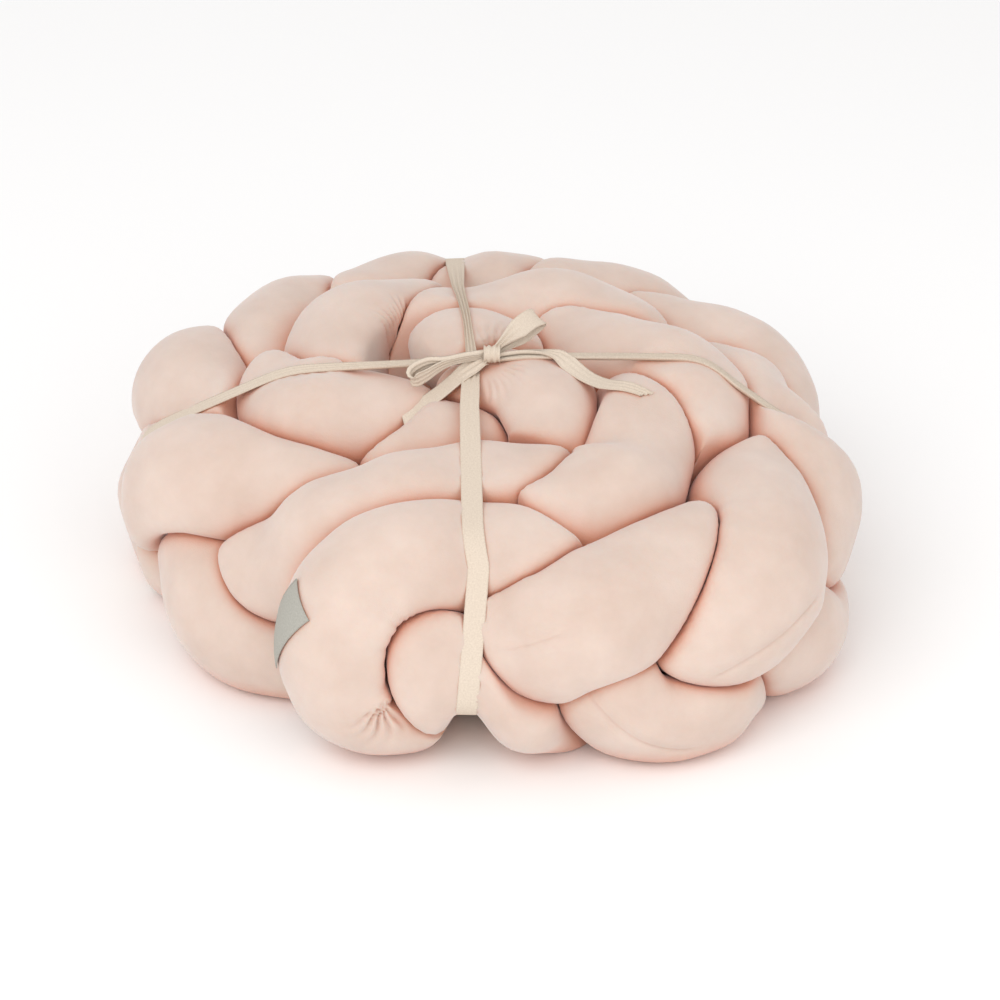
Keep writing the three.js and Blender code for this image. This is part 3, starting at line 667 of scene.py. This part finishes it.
def sew(grid, row):
    """A stretch of seam: rings are turned until one side follows it, and that side is drawn in."""
    start, start_side = nearest(grid, row["from"])
    end, end_side = nearest(grid[start - SEAM_FADE:start + SEAM_FADE], row["to"])
    end += start - SEAM_FADE
    (first, side), (last, last_side) = sorted([(start, start_side), (end, end_side)])
    shift = (last_side - side + RING_SIDES // 2) % RING_SIDES - RING_SIDES // 2
    rings = np.arange(first - SEAM_FADE, last + SEAM_FADE)
    stops = [first - SEAM_FADE, first, last, last + SEAM_FADE]
    turn = np.interp(rings, stops, [0, 0, shift, 0])[:, None]
    turned = between(grid, rings[:, None] + 0 * turn, np.arange(RING_SIDES) + turn)
    out = outward(turned)
    share = np.interp(rings, [first - SEAM_TAPER, first, last, last + SEAM_TAPER], [0, 1, 1, 0])[:, None]
    for step in (-1, 1):
        beside = (side + step) % RING_SIDES
        turned[:, beside] += SEAM_CLOSE * share * (turned[:, side] - turned[:, beside])
        turned[:, beside] += SEAM_RAISE * share * out[:, beside]
    turned[:, side] -= SEAM_DEPTH * share * out[:, side]
    grid[rings] = turned


def gathered(grid, row, rng):
    """A finer patch of cloth with small folds fanning out from a point.

    Gives its first ring and side, how much finer it is along the tube and round it, and its points."""
    ring, side = nearest(grid, row["to"])
    centre = np.asarray(row["at"], float)
    start, reach = row["span"]
    rings = ring + np.arange(-GATHER_RINGS, GATHER_RINGS + 1)
    rings = rings[(rings > HELD_RINGS) & (rings < len(grid) - HELD_RINGS)]
    sides = side + np.arange(-GATHER_SIDES, GATHER_SIDES + 1)
    inside = np.linalg.norm(grid[rings[:, None], sides % RING_SIDES] - centre, axis=-1) < reach
    rings = rings[inside.any(1)]
    sides = sides[inside.any(0)]
    first_ring, last_ring = rings[0] - 1, rings[-1] + 1
    first_side, last_side = sides[0] - 1, sides[-1] + 1
    block = grid[first_ring:last_ring + 1, np.arange(first_side, last_side + 1) % RING_SIDES]
    finer = [
        max(round(float(np.linalg.norm(np.diff(block, axis=axis), axis=-1).mean()) / GATHER_CELL), 1)
        for axis in (0, 1)
    ]
    r = first_ring + np.arange((last_ring - first_ring) * finer[0] + 1) / finer[0]
    s = first_side + np.arange((last_side - first_side) * finer[1] + 1) / finer[1]
    fine = between(grid, *np.meshgrid(r, s, indexing="ij"))
    out = unit(np.cross(np.gradient(fine, axis=1), np.gradient(fine, axis=0)))
    up = outward(grid[ring - 1:ring + 2])[1, side]
    ahead = np.asarray(row["to"], float) - centre
    ahead = unit(ahead - up * (ahead @ up))
    flat = fine - centre
    distance = np.linalg.norm(flat, axis=-1)
    angle = np.degrees(np.arctan2(flat @ np.cross(up, ahead), flat @ ahead))
    folds = row["folds"]
    place = (angle / row["fan"] + 0.5) * folds + GATHER_WANDER * np.sin(distance / GATHER_WAVE)
    fold = np.clip(np.floor(place), 0, folds - 1).astype(int)
    end = start + (reach - start) * rng.uniform(GATHER_LEAST, 1, folds)[fold]
    depth = row["depth"] * rng.uniform(GATHER_LEAST, 1, folds)[fold]
    share = np.clip((distance - start) / GATHER_RISE, 0, 1)
    share *= np.clip(2 * (end - distance) / (end - start), 0, 1)
    share *= (place > 0) & (place < folds)
    fine -= (depth * share * (1 - np.abs(np.cos(np.pi * place))))[..., None] * out
    return first_ring, first_side, finer, fine


def headings_of(ends):
    """The plan direction in which each half of a wrap leaves the knot."""
    return unit(ends - KNOT_AT)


def halves_of(wrap):
    """The two halves of a wrap: the heading, the sign of its places in the flat outline, and how it sways."""
    first, second = headings_of(wrap["ends"])
    return [(first, -1, wrap["sway"][0]), (second, 1, wrap["sway"][1])]


def left_of(heading):
    return np.array([-heading[1], heading[0]])


def wrap_places(points, heading, sway):
    """Points by how far they are from the knot along a heading, how far aside of the tape, and how high."""
    plan = points[..., :2] - KNOT_AT
    height = points[..., 2]
    aside = plan @ left_of(heading) - np.interp(height, *sway.T)
    return plan @ heading, aside, height


def convex_hull(points):
    """The outline of flat points, anticlockwise."""
    ordered = points[np.lexsort((points[:, 1], points[:, 0]))]

    def half(rows):
        chain = []
        for p in rows:
            while len(chain) > 1:
                a, b = chain[-2], chain[-1]
                if (b[0] - a[0]) * (p[1] - a[1]) - (b[1] - a[1]) * (p[0] - a[0]) > 0:
                    break
                chain.pop()
            chain.append(p)
        return chain[:-1]

    return np.array(half(ordered) + half(ordered[::-1]))


def cut_corner(loop, degrees, depth):
    """A closed outline with what lies beyond a straight cut taken off."""
    facing = np.array([math.cos(math.radians(degrees)), math.sin(math.radians(degrees))])
    reach = loop @ facing
    limit = reach.max() - depth
    kept = []
    for i, p in enumerate(loop):
        q = loop[(i + 1) % len(loop)]
        here, there = reach[i], reach[(i + 1) % len(loop)]
        if here <= limit:
            kept.append(p)
        if (here - limit) * (there - limit) < 0:
            kept.append(p + (q - p) * (limit - here) / (there - here))
    return np.array(kept)


def smooth_closed(loop, times):
    for _ in range(times):
        loop = (np.roll(loop, 1, 0) + 2 * loop + np.roll(loop, -1, 0)) / 4
    return loop


def outward_of_loop(loop):
    along = unit(np.roll(loop, -1, 0) - np.roll(loop, 1, 0))
    return np.stack([along[:, 1], -along[:, 0]], 1)


def wrap_loop(tubes, wrap, least_top):
    """One wrap of tape, flat: taut over the tubes, with its corners cut and rounded, sunk into the cloth."""
    found = [np.array([[0.0, least_top]])]
    for heading, sign, sway in halves_of(wrap):
        for tube in tubes:
            along, aside, height = wrap_places(tube["grid"].reshape(-1, 3), heading, sway)
            inside = (along >= 0) & (np.abs(aside) < TAPE_WIDTH / 2)
            found.append(np.stack([sign * along[inside], height[inside]], 1))
    loop = convex_hull(np.concatenate(found))
    for degrees, depth in wrap["cuts"]:
        loop = cut_corner(loop, degrees, depth)
    closed = np.vstack([loop, loop[:1]])
    loop = smooth_closed(resample(closed, TAPE_STEP)[:-1], TAPE_ROUNDING)
    return loop - TAPE_SINK * outward_of_loop(loop)


def tie(tube, wrap, loop):
    """The cloth stays inside a wrap of tape, and rises beside its edges."""
    grid = tube["grid"]
    outs = outward_of_loop(loop)
    limits = (loop * outs).sum(1) - TAPE_THICKNESS / 2
    for heading, sign, sway in halves_of(wrap):
        along, aside, height = wrap_places(grid, heading, sway)
        near = (along >= 0) & (np.abs(aside) < TAPE_WIDTH / 2 + TAPE_REACH)
        flat = np.stack([sign * along[near], height[near]], 1)
        beside = np.maximum(np.abs(aside[near]) - TAPE_WIDTH / 2, 0)
        over = flat @ outs.T - limits - (TAPE_EDGE_SLOPE * beside)[:, None]
        worst = over.argmax(1)
        amount = np.maximum(over[np.arange(len(flat)), worst], 0)[:, None]
        back = outs[worst]
        level = sign * back[:, :1] * heading
        grid[near] -= (amount * np.hstack([level, back[:, 1:]])).astype(np.float32)


def settle_tubes():
    """The cloth of both tubes, filled, pressed together and tied, with the two wraps of tape."""
    rng = np.random.default_rng(RANDOM_SEED)
    paths = tube_paths()
    tubes = [start_tube(paths, k, rng) for k in range(len(paths))]
    for tube in tubes:
        for _ in range(FREE_TURNS):
            relax(tube)
            press(tube)
    loops = {}
    least_top = 0.0
    for name, wrap in WRAPS.items():
        loops[name] = wrap_loop(tubes, wrap, least_top)
        over_knot = loops[name][np.abs(loops[name][:, 0]) < TAPE_WIDTH]
        least_top = over_knot[:, 1].max() + TAPE_SINK + TAPE_THICKNESS
    for tube in tubes:
        for _ in range(TIED_TURNS):
            relax(tube)
            press(tube)
            for name, wrap in WRAPS.items():
                tie(tube, wrap, loops[name])
            tube["grid"][:HELD_RINGS] = tube["held"][:HELD_RINGS]
            tube["grid"][-HELD_RINGS:] = tube["held"][-HELD_RINGS:]
        for _ in range(CALM_TURNS):
            calm(tube)
        press(tube)
        pleat(tube, rng)
        for name, wrap in WRAPS.items():
            tie(tube, wrap, loops[name])
    for row in SEAMS:
        sew(tubes[row["tube"]]["grid"], row)
    folded = tubes[FOLDED]
    folded["patches"] = [gathered(folded["grid"], row, rng) for row in GATHERS]
    return tubes, loops


def to_frame(points):
    """Table millimetres to the frame's metres."""
    return (np.asarray(points, float) + PLAN_SHIFT) * MM


def add_object(name, data):
    made = bpy.data.objects.new(name, data)
    bpy.context.scene.collection.objects.link(made)
    return made


def mesh_object(name, points, faces, material, uvs=None):
    """A new smooth piece, with flat coordinates where its weave needs them."""
    mesh = bpy.data.meshes.new(name)
    mesh.from_pydata(to_frame(points).tolist(), [], faces)
    if uvs is not None:
        layer = mesh.uv_layers.new(name="cloth")
        corners = np.zeros(len(mesh.loops), np.int32)
        mesh.loops.foreach_get("vertex_index", corners)
        layer.data.foreach_set("uv", uvs[corners].astype(np.float32).ravel())
    mesh.polygons.foreach_set("use_smooth", np.ones(len(mesh.polygons), bool))
    mesh.update()
    mesh.materials.append(material)
    return add_object(name, mesh)


def with_extras(corners, extras):
    """A face's corners in order, with the extra points on its edges between them."""
    face = []
    for a, b in zip(corners, corners[1:] + corners[:1]):
        face.append(a)
        face += extras.get((a, b), [])
    return tuple(face)


def edge_extras(line, every):
    """For each stretch of a patch's border between two grid points, the finer points there, both ways."""
    found = {}
    for i in range(0, len(line) - 1, every):
        a, b = line[i], line[i + every]
        found[a, b] = line[i + 1:i + every]
        found[b, a] = line[i + 1:i + every][::-1]
    return found


def tube_mesh(tube):
    """The settled grid and its finer patches as a closed mesh: its points and faces."""
    grid = tube["grid"]
    rings, sides = grid.shape[:2]
    base = grid.reshape(-1, 3).copy()
    first_pole = rings * sides
    finer_points = []
    count = first_pole + 2
    faces = []
    extras = {}
    covered = set()
    for ring, side, (along, around), fine in tube["patches"]:
        rows, columns = fine.shape[:2]
        grid_rows = ring + np.arange((rows - 1) // along + 1)
        grid_sides = (side + np.arange((columns - 1) // around + 1)) % sides
        shared = grid_rows[:, None] * sides + grid_sides
        own = np.ones((rows, columns), bool)
        own[::along, ::around] = False
        number = np.zeros((rows, columns), int)
        number[own] = count + np.arange(own.sum())
        number[::along, ::around] = shared
        base[shared] = fine[::along, ::around]
        finer_points.append(fine[own])
        count += own.sum()
        number = number.tolist()
        for i in range(rows - 1):
            for k in range(columns - 1):
                faces.append((number[i][k], number[i][k + 1], number[i + 1][k + 1], number[i + 1][k]))
        for line in (number[0], number[-1]):
            extras.update(edge_extras(line, around))
        for line in ([row[0] for row in number], [row[-1] for row in number]):
            extras.update(edge_extras(line, along))
        covered.update((int(r), int(j)) for r in grid_rows[:-1] for j in grid_sides[:-1])
    points = np.vstack([base, tube["path"][:1], tube["path"][-1:], *finer_points])
    for r in range(rings - 1):
        for j in range(sides):
            if (r, j) in covered:
                continue
            k = (j + 1) % sides
            corners = [r * sides + j, r * sides + k, (r + 1) * sides + k, (r + 1) * sides + j]
            faces.append(with_extras(corners, extras))
    last = (rings - 1) * sides
    for j in range(sides):
        k = (j + 1) % sides
        faces.append((first_pole, k, j))
        faces.append((first_pole + 1, last + j, last + k))
    return points, faces


def sheet_faces(rows, columns, closed=False):
    """The faces of a thin sheet, whose upper points come first and then the lower ones, row by row.

    In a closed one the last row joins the first."""

    def number(side, row, column):
        return (side * rows + row % rows) * columns + column

    faces = []
    last = columns - 1
    for i in range(rows if closed else rows - 1):
        for k in range(last):
            faces.append((number(0, i, k), number(0, i + 1, k), number(0, i + 1, k + 1), number(0, i, k + 1)))
            faces.append((number(1, i, k), number(1, i, k + 1), number(1, i + 1, k + 1), number(1, i + 1, k)))
        faces.append((number(0, i, 0), number(1, i, 0), number(1, i + 1, 0), number(0, i + 1, 0)))
        faces.append((number(0, i, last), number(0, i + 1, last), number(1, i + 1, last), number(1, i, last)))
    if not closed:
        end = rows - 1
        for k in range(last):
            faces.append((number(0, 0, k), number(0, 0, k + 1), number(1, 0, k + 1), number(1, 0, k)))
            faces.append((number(0, end, k), number(1, end, k), number(1, end, k + 1), number(0, end, k + 1)))
    return faces


def strip(path, across, shown, closed=False, cut=0.0):
    """A length of tape along a path as a thin closed mesh, drawn up in pleats where less of its width shows.

    Gives its points, faces and cloth coordinates."""
    before, after = (path[-1], path[0]) if closed else (2 * path[0] - path[1], 2 * path[-1] - path[-2])
    along = unit(np.vstack([path[1:], after]) - np.vstack([before, path[:-1]]))
    across = unit(across - along * (across * along).sum(1, keepdims=True))
    up = np.cross(along, across)
    place = np.linspace(-0.5, 0.5, TAPE_CELLS + 1)
    zigzag = np.abs(2 * ((place + 0.5) * PLEATS % 1) - 1) - 0.5
    depth = np.sqrt(1 - shown**2) * TAPE_WIDTH / (2 * PLEATS)
    middle = path[:, None] + across[:, None] * (TAPE_WIDTH * shown[:, None] * place)[..., None]
    middle = middle + up[:, None] * (depth[:, None] * zigzag)[..., None]
    middle[-1] += along[-1] * (cut * TAPE_WIDTH * place)[:, None]
    half = up[:, None] * TAPE_THICKNESS / 2
    points = np.stack([middle + half, middle - half])
    rows, columns = middle.shape[:2]
    lengths = np.broadcast_to(arc_lengths(path)[:, None], (rows, columns))
    widths = np.broadcast_to(place * TAPE_WIDTH, (rows, columns))
    uvs = np.tile(np.stack([lengths, widths], -1).reshape(-1, 2) * MM, (2, 1))
    return points.reshape(-1, 3), sheet_faces(rows, columns, closed), uvs


def wrap_strip(wrap, loop):
    """One wrap of tape round the roll, from its flat outline."""
    fine = resample(np.vstack([loop, loop[:1]]), TAPE_FINE_STEP)[:-1]
    top = np.where(np.abs(fine[:, 0]) < TAPE_FINE_STEP, fine[:, 1], 0).argmax()
    fine = np.roll(fine, -top, 0)
    outs = outward_of_loop(fine)
    lengths = arc_lengths(np.vstack([fine, fine[:1]]))
    from_knot = np.minimum(lengths[:-1], lengths[-1] - lengths[:-1])
    path = np.zeros((len(fine), 3))
    out = np.zeros((len(fine), 3))
    shown = np.zeros(len(fine))
    for (heading, sign, sway), rows in zip(halves_of(wrap), wrap["shown"]):
        here = fine[:, 0] < 0 if sign < 0 else fine[:, 0] >= 0
        height = fine[here, 1]
        aside = np.interp(height, *sway.T)[:, None] * left_of(heading)
        path[here, :2] = KNOT_AT + sign * fine[here, :1] * heading + aside
        path[here, 2] = height
        out[here, :2] = sign * outs[here, :1] * heading
        out[here, 2] = outs[here, 1]
        shown[here] = np.interp(from_knot[here], *rows.T)
    along = unit(np.roll(path, -1, 0) - np.roll(path, 1, 0))
    return strip(path, np.cross(out, along), shown, closed=True), lengths[-1]


def bow_loop(row, knot):
    path = resample(path_through(np.array(row["path"]) + knot, BOW_SAMPLES), BOW_STEP)
    lengths = arc_lengths(path)
    from_knot = np.minimum(lengths, lengths[-1] - lengths)
    across = np.broadcast_to(row["across"], path.shape)
    return strip(path, across, np.interp(from_knot, *row["shown"].T)), lengths[-1]


def draped(plan, under):
    """Heights along a plan path at which a tape lies over what is under it, bridging the dips."""
    least = np.array([under.ray_cast(Vector((x, y, DRAPE_FROM)), Vector((0, 0, -1)))[0].z for x, y in plan])
    height = least
    for _ in range(DRAPE_TURNS):
        height = np.maximum(smooth(height[:, None], 1)[:, 0], least)
    return smooth(height[:, None], DRAPE_ROUNDING)[:, 0] + DRAPE_GAP


def bow_tail(row, knot, under):
    plan = resample(path_through(np.array(row["path"]) + knot[:2], BOW_SAMPLES), BOW_STEP)
    shown = np.interp(arc_lengths(plan), *row["shown"].T)
    heading = unit(np.gradient(plan, axis=0))
    aside = np.stack([-heading[:, 1], heading[:, 0]], 1) * (TAPE_WIDTH * shown[:, None] / 2)
    right, middle, left = (
        np.column_stack([line, draped(line, under)]) for line in (plan - aside, plan, plan + aside)
    )
    return strip(middle, unit(left - right), shown, cut=TAIL_CUT), arc_lengths(middle)[-1]


def knot_band(knot):
    """The turn of tape that is pulled tight round the middle of the bow."""
    turn = 2 * np.pi * np.arange(KNOT_SAMPLES) / KNOT_SAMPLES
    first, second = headings_of(WRAPS["crosswise"]["ends"])
    across = np.append(unit(second - first), 0.0)
    level = np.append(left_of(across[:2]), 0.0)
    up = np.array([0.0, 0.0, 1.0])
    path = knot + KNOT_ROUND[0] * np.cos(turn)[:, None] * level + KNOT_ROUND[1] * np.sin(turn)[:, None] * up
    shown = np.full(KNOT_SAMPLES, KNOT_SHOWN)
    return strip(path, np.broadcast_to(across, path.shape), shown, closed=True), arc_lengths(path)[-1]


def joined(parts):
    """Several meshes as one: points, faces and cloth coordinates."""
    points = np.concatenate([p for p, _, _ in parts])
    starts = np.cumsum([0] + [len(p) for p, _, _ in parts])
    faces = []
    for start, (_, rows, _) in zip(starts.tolist(), parts):
        faces += [tuple(int(start + v) for v in face) for face in rows]
    return points, faces, np.concatenate([uvs for _, _, uvs in parts])


def tape_piece(tubes, loops, material):
    """The two wraps and the bow as one piece, and the length of tape in it, in millimetres."""
    made = [wrap_strip(wrap, loops[name]) for name, wrap in WRAPS.items()]
    covers = [tube_mesh(tube) for tube in tubes]
    points, faces, _ = joined([(*cover, np.zeros((0, 2))) for cover in covers] + [part for part, _ in made])
    under = BVHTree.FromPolygons(points.tolist(), faces)
    top = loops["crosswise"]
    height = top[np.abs(top[:, 0]) < TAPE_WIDTH / 2, 1].max()
    knot = np.append(KNOT_AT, height + KNOT_ROUND[1] - TAPE_THICKNESS)
    made += [bow_tail(row, knot, under) for row in BOW_TAILS]
    made += [bow_loop(row, knot) for row in BOW_LOOPS]
    made.append(knot_band(knot))
    points, faces, uvs = joined([part for part, _ in made])
    return mesh_object("tie_tape_band", points, faces, material, uvs), sum(length for _, length in made)


def label_piece(tube, material):
    """The bare label, which follows the cover's cloth a little above it."""
    grid = tube["grid"]
    ring, side = nearest(grid, LABEL_NEAR)
    span = grid[ring + LABEL_SPAN, side] - grid[ring - LABEL_SPAN, side]
    ring_step = np.linalg.norm(span) / (2 * LABEL_SPAN)
    side_step = tube["girth"][ring] / RING_SIDES
    wide, long = (np.linspace(-0.5, 0.5, n + 1) * size for n, size in zip(LABEL_CELLS, LABEL_SIZE))
    u, v = np.meshgrid(wide, long, indexing="ij")
    turn = math.radians(LABEL_TURN)
    rings = ring + (v * math.cos(turn) + u * math.sin(turn)) / ring_step
    sides = side + (u * math.cos(turn) - v * math.sin(turn)) / side_step
    middle = between(grid, rings, sides)
    out = unit(between(outward(grid), rings, sides))
    inner = middle + out * LABEL_LIFT
    outer = inner + out * LABEL_THICKNESS
    uvs = np.tile(np.stack([u, v], -1).reshape(-1, 2) * MM, (2, 1))
    points = np.concatenate([outer.reshape(-1, 3), inner.reshape(-1, 3)])
    return mesh_object("label_strip", points, sheet_faces(*u.shape), material, uvs)


def material_with(name):
    """A new node material, its tree, and its shader."""
    material = bpy.data.materials.new(name)
    material.use_nodes = True
    tree = material.node_tree
    return material, tree, tree.nodes["Principled BSDF"]


def add_node(tree, kind, **values):
    node = tree.nodes.new(kind)
    for key, value in values.items():
        if key in node.inputs:
            node.inputs[key].default_value = value
        else:
            setattr(node, key, value)
    return node


def set_inputs(node, values):
    for key, value in values.items():
        node.inputs[key].default_value = value


def ramp(tree, stops):
    """A colour ramp with a colour at each position."""
    node = add_node(tree, "ShaderNodeValToRGB")
    elements = node.color_ramp.elements
    for position, _ in stops[2:]:
        elements.new(position)
    for element, (position, colour) in zip(elements, stops):
        element.position = position
        element.color = colour
    return node


def velvet_material():
    material, tree, shader = material_with("velvet_blush")
    place = add_node(tree, "ShaderNodeTexCoord")
    nap = add_node(tree, "ShaderNodeTexNoise", **NAP)
    tree.links.new(place.outputs["Object"], nap.inputs["Vector"])
    tones = ramp(tree, NAP_TONES)
    tree.links.new(nap.outputs["Fac"], tones.inputs["Fac"])
    # Painted shade: ambient occlusion deepens and darkens the base colour in creases and near the floor, in
    # place of shade and light bounced between the tubes.
    openness = add_node(tree, "ShaderNodeAmbientOcclusion", Distance=CREASE_REACH, samples=CREASE_SAMPLES)
    painted_crease_shade = ramp(tree, PAINTED_CREASE_SHADE_TONES)
    tree.links.new(openness.outputs["AO"], painted_crease_shade.inputs["Fac"])
    mixed = add_node(tree, "ShaderNodeMix", data_type="RGBA", blend_type="MULTIPLY")
    mixed.inputs["Factor"].default_value = 1
    tree.links.new(tones.outputs["Color"], mixed.inputs["A"])
    tree.links.new(painted_crease_shade.outputs["Color"], mixed.inputs["B"])
    tree.links.new(mixed.outputs["Result"], shader.inputs["Base Color"])
    pile = add_node(tree, "ShaderNodeTexNoise", **PILE)
    tree.links.new(place.outputs["Object"], pile.inputs["Vector"])
    bump = add_node(tree, "ShaderNodeBump", **PILE_BUMP)
    tree.links.new(pile.outputs["Fac"], bump.inputs["Height"])
    tree.links.new(bump.outputs["Normal"], shader.inputs["Normal"])
    set_inputs(shader, VELVET_LOOK)
    return material


def woven_material(name, tones):
    """A plain weave with uneven threads, laid along the cloth's own length and width."""
    material, tree, shader = material_with(name)
    place = add_node(tree, "ShaderNodeUVMap", uv_map="cloth")
    warp = add_node(tree, "ShaderNodeTexWave", bands_direction="X", **THREADS)
    weft = add_node(tree, "ShaderNodeTexWave", bands_direction="Y", **THREADS)
    slub = add_node(tree, "ShaderNodeTexNoise", **SLUB)
    weave = add_node(tree, "ShaderNodeMath", operation="MULTIPLY")
    for texture in (warp, weft, slub):
        tree.links.new(place.outputs["UV"], texture.inputs["Vector"])
    tree.links.new(warp.outputs["Fac"], weave.inputs[0])
    tree.links.new(weft.outputs["Fac"], weave.inputs[1])
    colours = ramp(tree, tones)
    tree.links.new(slub.outputs["Fac"], colours.inputs["Fac"])
    tree.links.new(colours.outputs["Color"], shader.inputs["Base Color"])
    bump = add_node(tree, "ShaderNodeBump", **WEAVE_BUMP)
    tree.links.new(weave.outputs["Value"], bump.inputs["Height"])
    tree.links.new(bump.outputs["Normal"], shader.inputs["Normal"])
    set_inputs(shader, WOVEN_LOOK)
    return material


def area_light(row):
    light = bpy.data.lights.new(row["name"], "AREA")
    light.shape = "DISK"
    light.size = row["size"]
    light.energy = row["power"]
    lamp = add_object(row["name"], light)
    lamp.location = row["at"]
    lamp.rotation_euler = (Vector(LIGHT_TARGET) - Vector(row["at"])).to_track_quat("-Z", "Y").to_euler()


tubes, loops = settle_tubes()
velvet = velvet_material()
for name, tube in zip(("tube_folded", "tube_single"), tubes):
    piece = mesh_object(name + "_cover", *tube_mesh(tube), velvet)
    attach(piece, "root")
    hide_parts(name)

tape, tape_length = tape_piece(tubes, loops, woven_material("tape_cotton", TAPE_TONES))
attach(tape, "root")
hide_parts("tie_tape")

label = label_piece(tubes[FOLDED], woven_material("label_woven", LABEL_TONES))
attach(label, "root")
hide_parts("label")

# Stage, lights and camera
floor_mesh = bpy.data.meshes.new("floor")
floor_corners = [(x * FLOOR_HALF, y * FLOOR_HALF, 0) for x, y in ((-1, -1), (1, -1), (1, 1), (-1, 1))]
floor_mesh.from_pydata(floor_corners, [], [(0, 1, 2, 3)])
floor = add_object("floor", floor_mesh)
floor_material, _, floor_shader = material_with("floor_pale")
set_inputs(floor_shader, FLOOR_LOOK)
floor_mesh.materials.append(floor_material)

world = bpy.data.worlds.new("studio")
world.use_nodes = True
set_inputs(world.node_tree.nodes["Background"], WORLD_LOOK)
bpy.context.scene.world = world
for row in LIGHTS:
    area_light(row)

lens = bpy.data.cameras.new("camera")
lens.lens = CAMERA_LENS
lens.sensor_width = CAMERA_SENSOR
lens.shift_x, lens.shift_y = CAMERA_SHIFT
camera = add_object("camera", lens)
aim = Vector(to_frame(CAMERA_TARGET))
rise = math.radians(CAMERA_ELEVATION)
back = Vector((0, -math.cos(rise), math.sin(rise)))
camera.location = aim + back * CAMERA_DISTANCE * MM
camera.rotation_euler = (-back).to_track_quat("-Z", "Y").to_euler()
bpy.context.scene.camera = camera
bpy.context.scene.view_settings.view_transform = "Standard"
